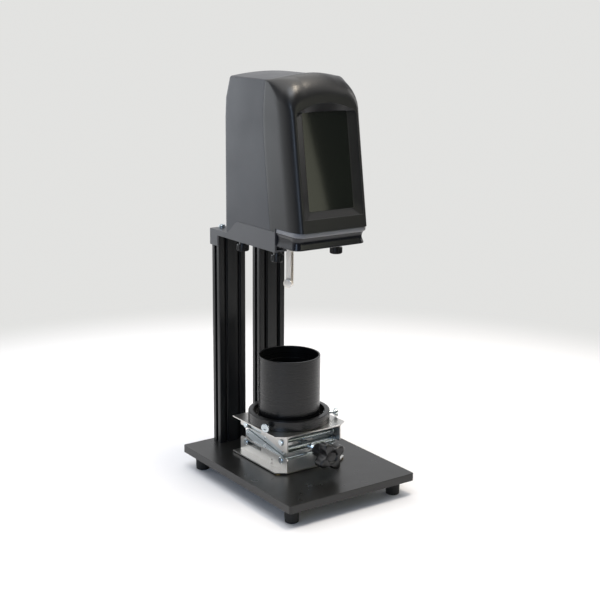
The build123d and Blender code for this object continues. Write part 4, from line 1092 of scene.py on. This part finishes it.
class VISCO_OT_casting(PieceOperator, bpy.types.Operator):
    """Make the casting under the head and its lip, whose paleness is a painted highlight"""

    bl_idname = "viscometer.casting"
    bl_label = "Head casting"

    def build(self, scene):
        low, high = CASTING_LOW, CASTING_HIGH
        tub_low, tub_top = low.z + 5.0, high.z - 0.2
        tub_half, tub_front, tub_rear = 50.6, low.y + 12.4, REAR_Y - 2.9
        wall, corner = 4.0, 12.0
        made = Shape().stack([
            self.plan(tub_half - inset, tub_front + inset, tub_rear - inset, corner - inset, z)
            for inset, z in ((1.2, tub_low), (0.4, tub_low + 0.35), (0.0, tub_low + 1.2), (0.0, tub_top))
        ]).object("head_casting")
        join_on(made, Shape().stack([
            self.plan(high.x - 0.4 - inset, low.y + 5.7 + inset, SHELF_LOW.y - 1.2, 9.0, tub_low + rise)
            for inset, rise in ((1.2, 0.0), (0.5, 0.3), (0.2, 1.0), (0.5, 2.6), (1.3, 5.0), (1.9, 8.0),
                                (1.7, 11.0), (0.9, 13.6), (0.0, 15.6), (0.0, 17.0))
        ]))
        carve(made, Shape().stack([
            self.plan(tub_half - wall, tub_front + wall, tub_rear - wall, corner - wall, z)
            for z in (tub_low + wall, tub_top + 1)
        ]))
        carve(made, Shape().revolve([
            (0, tub_low - 1), (7.6, tub_low - 1), (7.0, tub_low + 0.6), (7.0, tub_low + 5), (0, tub_low + 5),
        ], 40, matrix=upright(0, AXIS_Y)))
        for name in CLAMP_CORNERS:
            centre = middle("clamp_knob_" + name)
            join_on(made, Shape().revolve([
                (0, low.z + 2.0), (2.6, low.z + 2.0), (2.6, low.z), (6.6, low.z), (7.0, low.z + 0.4),
                (7.0, tub_low + 0.5), (0, tub_low + 0.5),
            ], 32, matrix=upright(centre.x, centre.y)))
        fit(made, "casting", "stand", "casting_black", "head_base", "case_screws")
        self.lip(high)

    @staticmethod
    def plan(half, front, rear, radius, z, rear_radius=1.0):
        """Plan outline with large front corners."""
        points = []
        for cx, cy, r, start in (
            (half - rear_radius, rear - rear_radius, rear_radius, 0.0),
            (-half + rear_radius, rear - rear_radius, rear_radius, 0.5),
            (-half + radius, front + radius, radius, 1.0),
            (half - radius, front + radius, radius, 1.5),
        ):
            for step in range(11):
                angle = math.pi * (start + step / 20)
                points.append((cx + r * math.cos(angle), cy + r * math.sin(angle), z))
        return points

    def lip(self, high):
        """The lip round the front of the casting, under the front cover, in the bracket's grey lightened
        threefold as a painted highlight.
        """
        half, front, rear = high.x, CASTING_LOW.y, SHELF_LOW.y - 1.0
        top = high.z - 0.15
        made = Shape().stack([
            self.plan(half - inset, front + inset, rear, 14.0 - inset, top - drop)
            for inset, drop in ((2.4, 5.9), (0.9, 5.7), (0.2, 5.0), (0.0, 3.6), (0.0, 1.4), (0.2, 0.5),
                                (0.8, 0.0))
        ]).object("casting_lip")
        carve(made, Shape().stack([
            self.plan(half - 6.0, front + 16.0, rear + 5.0, 8.0, z) for z in (top - 8, top + 1)
        ]))
        fit(made, "lip", "stand", "head_grey")


class VISCO_OT_clamp_knobs(PieceOperator, bpy.types.Operator):
    """Make the four ribbed knobs that clamp the head to its bracket"""

    bl_idname = "viscometer.clamp_knobs"
    bl_label = "Clamp knobs"

    def build(self, scene):
        ribs = scene.viscometer_table.rib_count
        for name in CLAMP_CORNERS:
            node = "clamp_knob_" + name
            low, high = node_box(node)
            centre = middle(node)
            z, rim, r = low.z, low.z + 8.5, high.x - centre.x
            neck = SHELF_LOW.z + 14.0 - 0.3
            knob = Shape().revolve([
                (0, z + 0.7), (4.9, z + 0.7), (5.2, z), (r - 1.1, z), (r - 0.5, z + 0.5),
                (r - 0.5, rim - 0.7), (r - 1.0, rim), (5.1, rim), (4.8, rim + 0.4), (4.8, neck),
                (2.5, neck + 0.05), (2.5, high.z - 0.4), (2.1, high.z), (0, high.z),
            ], 48).object(node + "_moulded")
            rib = Shape().prism([
                (r - 0.9, -0.48), (r - 0.12, -0.28), (r, 0.0), (r - 0.12, 0.28), (r - 0.9, 0.48),
            ], z + 0.9, rim - 0.9).object(node + "_rib")
            ribbed(knob, rib, ribs, "knobs", upright(centre.x, centre.y))
            fit(knob, "knobs", "knob_" + name, "knob_black", node)


LINK_TURN = math.radians(28.0)


class VISCO_OT_spindle(PieceOperator, bpy.types.Operator):
    """Make the spindle's link, its cross screw and the shaft's visible end"""

    bl_idname = "viscometer.spindle"
    bl_label = "Spindle link"

    def build(self, scene):
        low, high = node_box("spindle_link")
        bottom, top = low.z, high.z
        place = upright(0, AXIS_Y) @ Matrix.Rotation(LINK_TURN, 4, "Z")
        half, wall, hole = 3.5, 1.2, bottom + 3.6
        outline = [(-half, -half), (-half + wall, -half), (-half + wall, half - wall),
                   (half - wall, half - wall), (half - wall, -half), (half, -half), (half, half),
                   (-half, half)]
        channel_top, cap_top = bottom + 42.9, bottom + 46.9
        link = Shape().prism(outline, bottom, channel_top).object("spindle_link_steel")
        join_on(link, Shape().block(-half, half, -half, half, channel_top - 0.1, cap_top))
        join_on(link, Shape().revolve([
            (0, bottom + 46.3), (3.3, bottom + 46.3), (7.7, bottom + 49.6), (8.0, bottom + 50.1),
            (8.0, top - 0.7), (7.8, top - 0.25), (7.3, top), (3.02, top), (3.02, top - 3.0), (0, top - 3.0),
        ], 56))
        carve(link, Shape().rod(1.55, -6, 6, 24, along_x(0, 0, hole)))
        carve(link, Shape().rod(1.9, -1.6, 1.6, 24,
                                upright(0, half - 0.6, hole) @ Matrix.Rotation(math.pi / 2, 4, "X")))
        soften(link, 0.18, 2)
        moved(link, place)
        fit(link, "link_steel", "spindle", "zinc_steel", "spindle_link")
        self.screw(place, hole, half, scene.viscometer_table.knurl_count)
        keep_nodes("rod_zinc", "spindle_shaft")
        keep_nodes("spring_steel", "torsion_spring")
        keep_nodes("inner_metal", "drive_coupling", "encoder_disc")

    def screw(self, place, z, half, knurls):
        """Disc-headed screw across the foot of the link."""
        near = -half - 0.3
        screw = Shape().revolve([
            (0, near - 3.2), (4.9, near - 3.2), (5.4, near - 2.9), (5.55, near - 2.4), (5.55, near - 0.8),
            (5.2, near - 0.1), (4.8, near), (1.5, near), (1.5, half - 2.1), (1.2, half - 1.7),
            (0, half - 1.7),
        ], 48).object("link_screw_knurled")
        rib = Shape().prism([(5.3, -0.3), (5.8, 0.0), (5.3, 0.3)], near - 2.6,
                            near - 0.6).object("link_screw_rib")
        ribbed(screw, rib, knurls, "link_steel", place @ along_x(0, 0, z))
        fit(screw, "link_steel", "link_thumb_screw", "zinc_steel", "link_screw")


class VISCO_OT_rear_panel(PieceOperator, bpy.types.Operator):
    """Finish the mains inlet, power switch and data socket"""

    bl_idname = "viscometer.rear_panel"
    bl_label = "Rear panel"

    def build(self, scene):
        keep_nodes("socket", "power_inlet", "power_switch_housing", "power_rocker")
        keep_nodes("inner_metal", "data_port")


class VISCO_OT_inside(PieceOperator, bpy.types.Operator):
    """Finish the drive and its frame inside the head"""

    bl_idname = "viscometer.inside"
    bl_label = "Inner parts"

    def build(self, scene):
        keep_nodes("inner_metal", "bearing_housing", "motor_bridge")
        keep_nodes("rod_zinc", "spindle_bearings", "bridge_standoffs")
        keep_nodes("zinc", "bridge_screws")
        keep_nodes("motor", "drive_motor", "encoder_sensor")


# ------------------------------------------------------------------ lifting table
PIVOT_FRONT = TABLE_BASE_LOW.y + 13.0
PIVOT_REAR = PIVOT_FRONT + 80.0
ARM_RISE, ARM_SHEET = 11.75, 2.0
PIVOT_LOW = TABLE_BASE_LOW.z + 14.3
PIVOT_MID = PIVOT_LOW + ARM_RISE
PIVOT_HIGH = PIVOT_MID + ARM_RISE
FLANGE_X = TABLE_HIGH.x - 12.2
SLOT_REACH = (PIVOT_REAR - 31.9, PIVOT_REAR + 1.0)


def clipped(low, high, z0, z1, name):
    """A table plate with its two front corners clipped."""
    x, cut_x, cut_y = high.x, high.x - 12.0, low.y + 8.5
    points = [(-cut_x, low.y), (cut_x, low.y), (x, cut_y), (x, high.y), (-x, high.y), (-x, cut_y)]
    return Shape().prism(points, z0, z1).object(name)


def flange_slots(z):
    """Slots for the roller's pins, cut across both flanges."""
    outline = capsule((SLOT_REACH[0], z), (SLOT_REACH[1], z), 2.8, 12)
    return Shape().prism(outline, -FLANGE_X - 2, FLANGE_X + 2, "X")


class VISCO_OT_table_plates(PieceOperator, bpy.types.Operator):
    """Make the lifting table's folded base and top"""

    bl_idname = "viscometer.table_plates"
    bl_label = "Table plates"

    def build(self, scene):
        sizes = scene.viscometer_table
        sheet = sizes.sheet / MM
        low, high = TABLE_BASE_LOW, TABLE_BASE_HIGH
        base = clipped(low, high, low.z, low.z + sheet, "table_base_folded")
        outline = [(low.y, low.z + 0.05), (high.y, low.z + 0.05), (high.y, high.z - 2.0),
                   (high.y - 2.0, high.z), (low.y + 2.0, high.z), (low.y, high.z - 2.0)]
        self.flanges(base, outline, sheet)
        carve(base, flange_slots(PIVOT_LOW))
        hole_y = (low.y + high.y) / 2 - 19.5
        for rise in (3.8, 8.4):
            carve(base, Shape().rod(1.2, -60, 60, 20, along_x(0, hole_y, low.z + rise)))
        self.done(base, sizes, "stand", "jack_base")
        low, high = TABLE_LOW, TABLE_HIGH
        top = clipped(low, high, high.z - sheet, high.z, "table_top_folded")
        flange_low, ear_low = high.z - 14.3, high.z - 21.8
        outline = [(low.y, high.z - 0.05), (low.y, ear_low + 1.5), (low.y + 1.5, ear_low),
                   (low.y + 11.0, ear_low), (low.y + 46.0, flange_low), (high.y - 1.5, flange_low),
                   (high.y, flange_low + 1.5), (high.y, high.z - 0.05)]
        self.flanges(top, outline, sheet)
        carve(top, flange_slots(PIVOT_HIGH))
        self.done(top, sizes, "jack_table", "jack_top")
        self.feet()

    @staticmethod
    def flanges(made, outline, sheet):
        for side in (-1, 1):
            x0, x1 = sorted((side * FLANGE_X, side * (FLANGE_X - sheet)))
            join_on(made, Shape().prism(outline, x0, x1, "X"))

    @staticmethod
    def done(made, sizes, body, node):
        soften(made, sizes.edge / MM, 2)
        fit(made, "nickel", body, "table_nickel", node)

    @staticmethod
    def feet():
        low, high = node_box("jack_feet")
        foot = Shape().revolve([(0, low.z), (3.1, low.z), (3.5, low.z + 0.3), (3.5, high.z), (0, high.z)],
                               28).object("table_feet_turned")
        at_corners(foot, "jack_feet", 7.0, "brass")
        fit(foot, "brass", "stand", "table_brass", "jack_feet")


class VISCO_OT_table_arms(PieceOperator, bpy.types.Operator):
    """Make the crossed arms, their pins and the rods of the lifting table"""

    bl_idname = "viscometer.table_arms"
    bl_label = "Table arms"

    def build(self, scene):
        edge = scene.viscometer_table.edge / MM
        outer, inner = FLANGE_X - 3.9, FLANGE_X - 6.3
        front_low, rear_mid = (PIVOT_FRONT, PIVOT_LOW), (PIVOT_REAR, PIVOT_MID)
        front_mid, rear_low = (PIVOT_FRONT, PIVOT_MID), (PIVOT_REAR, PIVOT_LOW)
        front_high, rear_high = (PIVOT_FRONT, PIVOT_HIGH), (PIVOT_REAR, PIVOT_HIGH)
        for node, start, end, x, body in (
            ("jack_arms_lower_front", front_low, rear_mid, outer, "jack_arm_a"),
            ("jack_arms_lower_rear", front_mid, rear_low, inner, "jack_arm_b"),
            ("jack_arms_upper_rear", front_high, rear_mid, inner, "jack_arm_c"),
            ("jack_arms_upper_front", front_mid, rear_high, outer, "jack_arm_d"),
        ):
            self.arms(node, start, end, x, body, edge)
        self.pins("jack_pins_lower", PIVOT_LOW + ARM_RISE / 2, inner, outer, "jack_arm_a")
        self.pins("jack_pins_upper", PIVOT_MID + ARM_RISE / 2, inner, outer, "jack_arm_c")
        for node, y, z, body, gap in (
            ("jack_base_rod", PIVOT_FRONT, PIVOT_LOW, "stand", 0.0),
            ("jack_base_roller", PIVOT_REAR, PIVOT_LOW, "jack_arm_b", 0.3),
            ("jack_top_rod", PIVOT_FRONT, PIVOT_HIGH, "jack_table", 0.0),
            ("jack_top_roller", PIVOT_REAR, PIVOT_HIGH, "jack_arm_d", 0.3),
        ):
            self.rod(node, y, z, FLANGE_X + gap, body)
        for node, y, body in (("jack_front_bar", PIVOT_FRONT, "jack_bar_front"),
                              ("jack_rear_bar", PIVOT_REAR, "jack_bar_rear")):
            self.bar(node, y, inner, outer + ARM_SHEET, body)

    @staticmethod
    def arms(node, start, end, x, body, edge):
        outline = capsule(start, end, 5.0, 16)
        pair = Shape()
        for x0, x1 in ((x, x + ARM_SHEET), (-x - ARM_SHEET, -x)):
            pair.prism(outline, x0, x1, "X")
        complete(node + "_pressed", pair, "arm_zinc", body, "table_nickel", (node,), edge)

    @staticmethod
    def pins(node, z, inner, outer, body):
        """Riveted pins where two arms cross: domed outside, headed inside."""
        y = (PIVOT_FRONT + PIVOT_REAR) / 2
        end = outer + ARM_SHEET
        half = [(0, inner - 1.6), (3.7, inner - 1.6), (4.2, inner - 1.2), (4.2, inner - 0.4),
                (2.5, inner - 0.4), (2.5, end), (2.2, end + 0.12), (1.2, end + 0.2), (0, end + 0.22)]
        pins = Shape()
        for turn in (math.pi / 2, -math.pi / 2):
            pins.revolve(half, 36, matrix=upright(0, y, z) @ Matrix.Rotation(turn, 4, "Y"))
        complete(node + "_riveted", pins, "zinc", body, "table_nickel", (node,))

    @staticmethod
    def rod(node, y, z, end, body):
        head = end + 2.0
        half = [(2.5, end), (3.9, end), (4.2, end + 0.3), (4.2, head - 0.5), (3.7, head), (0, head)]
        rod = Shape().revolve(mirrored(half), 40, matrix=along_x(0, y, z))
        complete(node + "_turned", rod, "rod_zinc", body, "table_nickel", (node,))

    @staticmethod
    def bar(node, y, inner, outer, body):
        end = inner - 0.3
        half = [(5.0, end - 0.4), (4.6, end), (2.5, end), (2.5, outer - 0.2), (2.2, outer + 0.15),
                (0, outer + 0.2)]
        bar = Shape().revolve(mirrored(half), 40, matrix=along_x(0, y, PIVOT_MID))
        complete(node + "_turned", bar, "rod_zinc", body, "table_nickel", (node,))


class VISCO_OT_star_knob(PieceOperator, bpy.types.Operator):
    """Make the lead screw and the star knob that turns it"""

    bl_idname = "viscometer.star_knob"
    bl_label = "Star knob and lead screw"

    def build(self, scene):
        low, high = node_box("jack_knob")
        place = along_y(0, 0, PIVOT_MID)
        lobe = 0.05 * scene.viscometer_table.knob_lobe / MM
        lobes, turn = 4, math.radians(28.0)

        def star(angle, radius, y):
            reach = min(1.0, max(0.0, (radius - 9.0) / 6.0)) if y > low.y + 1.5 or radius > 11 else 0.0
            return 1.0 + reach * lobe * math.cos(lobes * (angle + turn))

        front, back = low.y, low.y + 15.0
        knob = Shape().revolve([
            (0, front + 2.6), (5.8, front + 2.6), (6.6, front + 2.2), (7.4, front + 1.0), (8.4, front + 0.35),
            (11.5, front + 0.1), (13.4, front), (14.6, front + 0.5), (15.3, front + 1.6), (15.5, front + 3.2),
            (15.5, back - 3.0), (15.2, back - 1.4), (14.4, back - 0.4), (13.0, back), (9.6, back + 0.2),
            (8.8, back + 1.2), (8.5, back + 3.0), (8.3, high.y - 1.0), (7.6, high.y), (0, high.y),
        ], 112, star, place).object("star_knob_moulded")
        fit(knob, "knobs", "jack_drive", "knob_black", "jack_knob")
        low, high = node_box("jack_screw")
        thread = [(0, low.y), (2.6, low.y)]
        collars = [(start, start + 3.0) for start in (PIVOT_FRONT - 8.3, PIVOT_FRONT + 5.3)]
        y = low.y + 0.4
        while y < high.y - 1.0:
            met = [(a, b) for a, b in collars if a - 1.0 < y < b + 0.6]
            if met:
                a, b = met[0]
                thread += [(2.6, a - 0.1), (4.2, a), (4.6, a + 0.4), (4.6, b - 0.4), (4.2, b), (2.6, b + 0.1)]
                y = b + 0.7
            else:
                thread += [(2.62, y), (3.0, y + 0.5)]
                y += 1.0
        thread += [(2.6, high.y - 0.4), (2.2, high.y), (0, high.y)]
        screw = Shape().revolve(thread, 24, matrix=place)
        complete("lead_screw_cut", screw, "rod_zinc", "jack_drive", "table_nickel", ("jack_screw",))


class VISCO_OT_ring(PieceOperator, bpy.types.Operator):
    """Make the ring on the table and its three thumb screws"""

    bl_idname = "viscometer.ring"
    bl_label = "Cup ring"

    def build(self, scene):
        low, high = node_box("cup_ring")
        outer, inner = high.x, high.x - 6.6
        ring = Shape().tube([
            (inner, low.z + 0.3), (inner + 0.3, low.z), (outer - 0.4, low.z), (outer, low.z + 0.4),
            (outer, high.z - 1.0), (outer - 0.25, high.z - 0.35), (outer - 1.0, high.z),
            (inner + 0.4, high.z), (inner, high.z - 0.4),
        ], 160, matrix=upright(0, AXIS_Y))
        complete("cup_ring_turned", ring, "cups", "jack_table", "black_anodised", ("cup_ring",))
        for name, angle in (("left", 207.0), ("right", 333.0), ("rear", 90.0)):
            self.screw(name, math.radians(angle), low.z + 6.4, outer, scene.viscometer_table.knurl_count)

    def screw(self, name, angle, z, ring, knurls):
        """Knurled thumb screw, pointing at the cup."""
        inner, neck = ring - 8.0, ring + 5.5
        head = neck + 1.5
        screw = Shape().revolve([
            (0, inner), (1.4, inner), (2.0, inner + 0.6), (2.0, neck), (3.0, neck), (3.2, neck + 0.2),
            (3.2, head), (5.0, head), (5.5, head + 0.35), (5.6, head + 0.7), (5.6, head + 3.2),
            (5.4, head + 3.7), (4.9, head + 4.0), (2.6, head + 4.0), (2.2, head + 3.75), (0, head + 3.7),
        ], 48).object("ring_screw_" + name + "_turned")
        rib = Shape().prism([(5.4, -0.32), (5.8, 0.0), (5.4, 0.32)], head + 0.6,
                            head + 3.4).object("ring_screw_rib")
        place = upright(0, AXIS_Y, z) @ Matrix.Rotation(angle, 4, "Z") @ along_x(0, 0, 0)
        ribbed(screw, rib, knurls, "zinc", place)
        body = {"left": "ring_screw_l", "right": "ring_screw_r", "rear": "ring_screw_b"}[name]
        fit(screw, "zinc", body, "zinc_steel", "ring_screw_" + name)


class VISCO_OT_cups(PieceOperator, bpy.types.Operator):
    """Make the outer cup and the sample cup inside it"""

    bl_idname = "viscometer.cups"
    bl_label = "Cups"

    def build(self, scene):
        for node, wall, floor, body, slot, key in (
            ("outer_cup", 2.0, 3.0, "cup", "black_anodised", "cups"),
            ("sample_cup", 1.5, 2.0, "sample", "sample_dark", "cup_inside"),
        ):
            low, high = node_box(node)
            r = high.x
            cup = Shape().revolve([
                (0, low.z), (r - 0.8, low.z), (r - 0.2, low.z + 0.25), (r, low.z + 0.8), (r, high.z - 0.45),
                (r - 0.15, high.z - 0.12), (r - 0.45, high.z), (r - wall + 0.4, high.z),
                (r - wall + 0.1, high.z - 0.12), (r - wall, high.z - 0.4), (r - wall, low.z + floor + 1.2),
                (r - wall - 0.35, low.z + floor + 0.35), (r - wall - 1.2, low.z + floor), (0, low.z + floor),
            ], 144, matrix=upright(0, AXIS_Y))
            complete(node + "_turned", cup, key, body, slot, (node,))


# ------------------------------------------------------------------ stage
CAMERA_AZIMUTH, CAMERA_RISE, CAMERA_ROLL = math.radians(35.21), math.radians(13.91), math.radians(0.43)
CAMERA_DISTANCE, CAMERA_LENS = 1.5469, 74.3
AIM_RIGHT, AIM_HEIGHT = 0.00435, 0.24048
LAMP_AIM = Vector((0, 0, 0.28))
# Distance from the middle over which the table fades into the backdrop, the places along Y between
# which that backdrop brightens and the directions along Y between which the room does.
TABLE_FADE, BACKDROP_RISE, ROOM_RISE = (0.62, 0.95), (-0.4, 1.3), (0.1, 0.85)


class VISCO_OT_stage(bpy.types.Operator):
    """Lay the table, hang the lamps and place the camera"""

    bl_idname = "viscometer.stage"
    bl_label = "Stage"
    bl_options = {"REGISTER", "UNDO"}

    def execute(self, context):
        scene = context.scene
        settings = scene.viscometer_stage
        self.floor(settings)
        self.world(scene, settings)
        for lamp in (
            ("lamp_window", (-1.50, -0.87, 0.75), (0.46, 1.3), 6.5, (0.58, 0.74, 1.0)),
            ("lamp_side", (-0.66, 1.66, 0.35), (0.5, 0.6), 3.0, (0.84, 0.92, 1.0)),
            ("lamp_above", (-0.45, -0.40, 2.0), (0.8, 0.6), 7.0, (0.82, 0.90, 1.0)),
            ("lamp_top", (0.0, 0.3, 2.2), (3.0, 2.6), 40.0, (1.0, 0.98, 0.95)),
            ("lamp_warm", (0.16, -0.34, 1.95), (0.34, 0.34), 12.0, (1.0, 0.88, 0.72)),
            ("lamp_high", (1.1, -0.9, 1.7), (0.8, 0.8), 2.0, (1.0, 0.98, 0.94)),
            ("lamp_back", (-0.35, 1.35, 0.6), (0.9, 1.2), 3.4, (0.95, 0.97, 1.0)),
            ("lamp_right", (1.8, -0.2, 1.0), (0.8, 1.0), 7.0, (1.0, 0.97, 0.93)),
            ("lamp_card", (0.532, -1.488, 0.62), (0.80, 0.60), 1.9, (1.0, 1.0, 0.78), 6.6),
        ):
            self.lamp(scene, *lamp)
        self.camera(scene)
        scene.view_settings.view_transform = "Standard"
        return {"FINISHED"}

    @staticmethod
    def lamp(scene, name, place, size, power, tone, roll=0.0):
        light = bpy.data.lights.new(name, "AREA")
        light.shape = "RECTANGLE"
        light.size, light.size_y = size
        light.energy = power
        light.color = tone
        lamp = bpy.data.objects.new(name, light)
        aim = (LAMP_AIM - Vector(place)).to_track_quat("-Z", "Y").to_matrix().to_4x4()
        lamp.matrix_world = Matrix.Translation(place) @ aim @ Matrix.Rotation(math.radians(roll), 4, "Z")
        lamp.visible_camera = False
        scene.collection.objects.link(lamp)

    @staticmethod
    def floor(settings):
        """A pale table that turns into the backdrop's grey beyond the object."""
        mesh = bpy.data.meshes.new("table")
        half = 12.0
        mesh.from_pydata([(-half, -half, 0), (half, -half, 0), (half, half, 0), (-half, half, 0)],
                         [], [(0, 1, 2, 3)])
        table = bpy.data.objects.new("table", mesh)
        bpy.context.scene.collection.objects.link(table)
        material = bpy.data.materials.new("table_surface")
        material.use_nodes = True
        tree = material.node_tree
        tree.nodes.clear()
        place = new_node(tree, "ShaderNodeTexCoord")
        away = new_node(tree, "ShaderNodeVectorMath")
        away.operation = "LENGTH"
        far = ramp_node(tree, *TABLE_FADE, interpolation="SMOOTHSTEP")
        matt = new_node(tree, "ShaderNodeBsdfDiffuse", Color=(*settings.table_white, 1))
        plain = new_node(tree, "ShaderNodeEmission", Color=(*settings.wall_grey, 1))
        blend = new_node(tree, "ShaderNodeMixShader")
        output = new_node(tree, "ShaderNodeOutputMaterial")
        split = new_node(tree, "ShaderNodeSeparateXYZ")
        dusk = ramp_node(tree, *BACKDROP_RISE, settings.front_level * 0.5, settings.back_level, "SMOOTHSTEP")
        path = new_node(tree, "ShaderNodeLightPath")
        shown = new_node(tree, "ShaderNodeMath")
        shown.operation = "MAXIMUM"
        wire(
            tree, (place, "Object", away, 0), (away, "Value", far, "Value"),
            (place, "Object", split, "Vector"), (split, "Y", dusk, "Value"),
            (path, "Is Camera Ray", shown, 0), (dusk, "Result", shown, 1),
            (shown, "Value", plain, "Strength"), (far, "Result", blend, "Fac"),
            (matt, "BSDF", blend, 1), (plain, "Emission", blend, 2), (blend, "Shader", output, "Surface"),
        )
        mesh.materials.append(material)

    @staticmethod
    def world(scene, settings):
        world = bpy.data.worlds.new("studio")
        world.use_nodes = True
        tree = world.node_tree
        tree.nodes.clear()
        path = new_node(tree, "ShaderNodeLightPath")
        toward = new_node(tree, "ShaderNodeTexCoord")
        split = new_node(tree, "ShaderNodeSeparateXYZ")
        level = ramp_node(tree, *ROOM_RISE, settings.front_level, settings.back_level, "SMOOTHSTEP")
        dim = new_node(tree, "ShaderNodeBackground", Color=(0.97, 0.98, 1.0, 1))
        seen = new_node(tree, "ShaderNodeBackground", Color=(*settings.wall_grey, 1), Strength=1.0)
        choose = new_node(tree, "ShaderNodeMixShader")
        output = new_node(tree, "ShaderNodeOutputWorld")
        wire(
            tree, (toward, "Generated", split, "Vector"), (split, "Y", level, "Value"),
            (level, "Result", dim, "Strength"), (path, "Is Camera Ray", choose, "Fac"),
            (dim, "Background", choose, 1), (seen, "Background", choose, 2),
            (choose, "Shader", output, "Surface"),
        )
        scene.world = world

    @staticmethod
    def camera(scene):
        a, e, r = CAMERA_AZIMUTH, CAMERA_RISE, CAMERA_ROLL
        back = Vector((-math.sin(a) * math.cos(e), -math.cos(a) * math.cos(e), math.sin(e)))
        right = Vector((math.cos(a), -math.sin(a), 0))
        up = back.cross(right)
        target = right * AIM_RIGHT + Vector((0, 0, AIM_HEIGHT))
        x_axis = right * math.cos(r) + up * math.sin(r)
        y_axis = up * math.cos(r) - right * math.sin(r)
        turned = Matrix((x_axis, y_axis, back)).transposed().to_4x4()
        data = bpy.data.cameras.new("camera")
        data.sensor_width = 36.0
        data.lens = CAMERA_LENS
        data.clip_end = 60.0
        camera = bpy.data.objects.new("camera", data)
        camera.matrix_world = Matrix.Translation(target + back * CAMERA_DISTANCE) @ turned
        scene.collection.objects.link(camera)
        scene.camera = camera


# ------------------------------------------------------------------ sidebar
PIECES = (
    VISCO_OT_base_plate, VISCO_OT_posts, VISCO_OT_bracket, VISCO_OT_casting, VISCO_OT_covers, VISCO_OT_screen,
    VISCO_OT_clamp_knobs, VISCO_OT_spindle, VISCO_OT_rear_panel, VISCO_OT_inside, VISCO_OT_table_plates,
    VISCO_OT_table_arms, VISCO_OT_star_knob, VISCO_OT_ring, VISCO_OT_cups, VISCO_OT_stage,
)
GROUPS = (
    ("viscometer_stand", StandSizes), ("viscometer_head", HeadSizes), ("viscometer_table", TableSizes),
    ("viscometer_colours", Colours), ("viscometer_stage", StageSettings),
)


class VISCO_PT_sidebar(bpy.types.Panel):
    """Sizes, colours and the pieces in the order that they are made"""

    bl_idname = "VISCO_PT_sidebar"
    bl_label = "Viscometer"
    bl_space_type = "VIEW_3D"
    bl_region_type = "UI"
    bl_category = "Viscometer"

    def draw(self, context):
        for piece in PIECES:
            self.layout.operator(piece.bl_idname)
        for name, group in GROUPS:
            box = self.layout.box()
            settings = getattr(context.scene, name)
            for key in group.__annotations__:
                box.prop(settings, key)


def register():
    for name, group in GROUPS:
        bpy.utils.register_class(group)
        setattr(bpy.types.Scene, name, PointerProperty(type=group))
    for piece in (*PIECES, VISCO_PT_sidebar):
        bpy.utils.register_class(piece)


def unregister():
    for piece in (VISCO_PT_sidebar, *reversed(PIECES)):
        bpy.utils.unregister_class(piece)
    for name, group in reversed(GROUPS):
        delattr(bpy.types.Scene, name)
        bpy.utils.unregister_class(group)


def main():
    register()
    for piece in PIECES:
        group, name = piece.bl_idname.split(".")
        getattr(getattr(bpy.ops, group), name)()


if __name__ == "__main__":
    main()
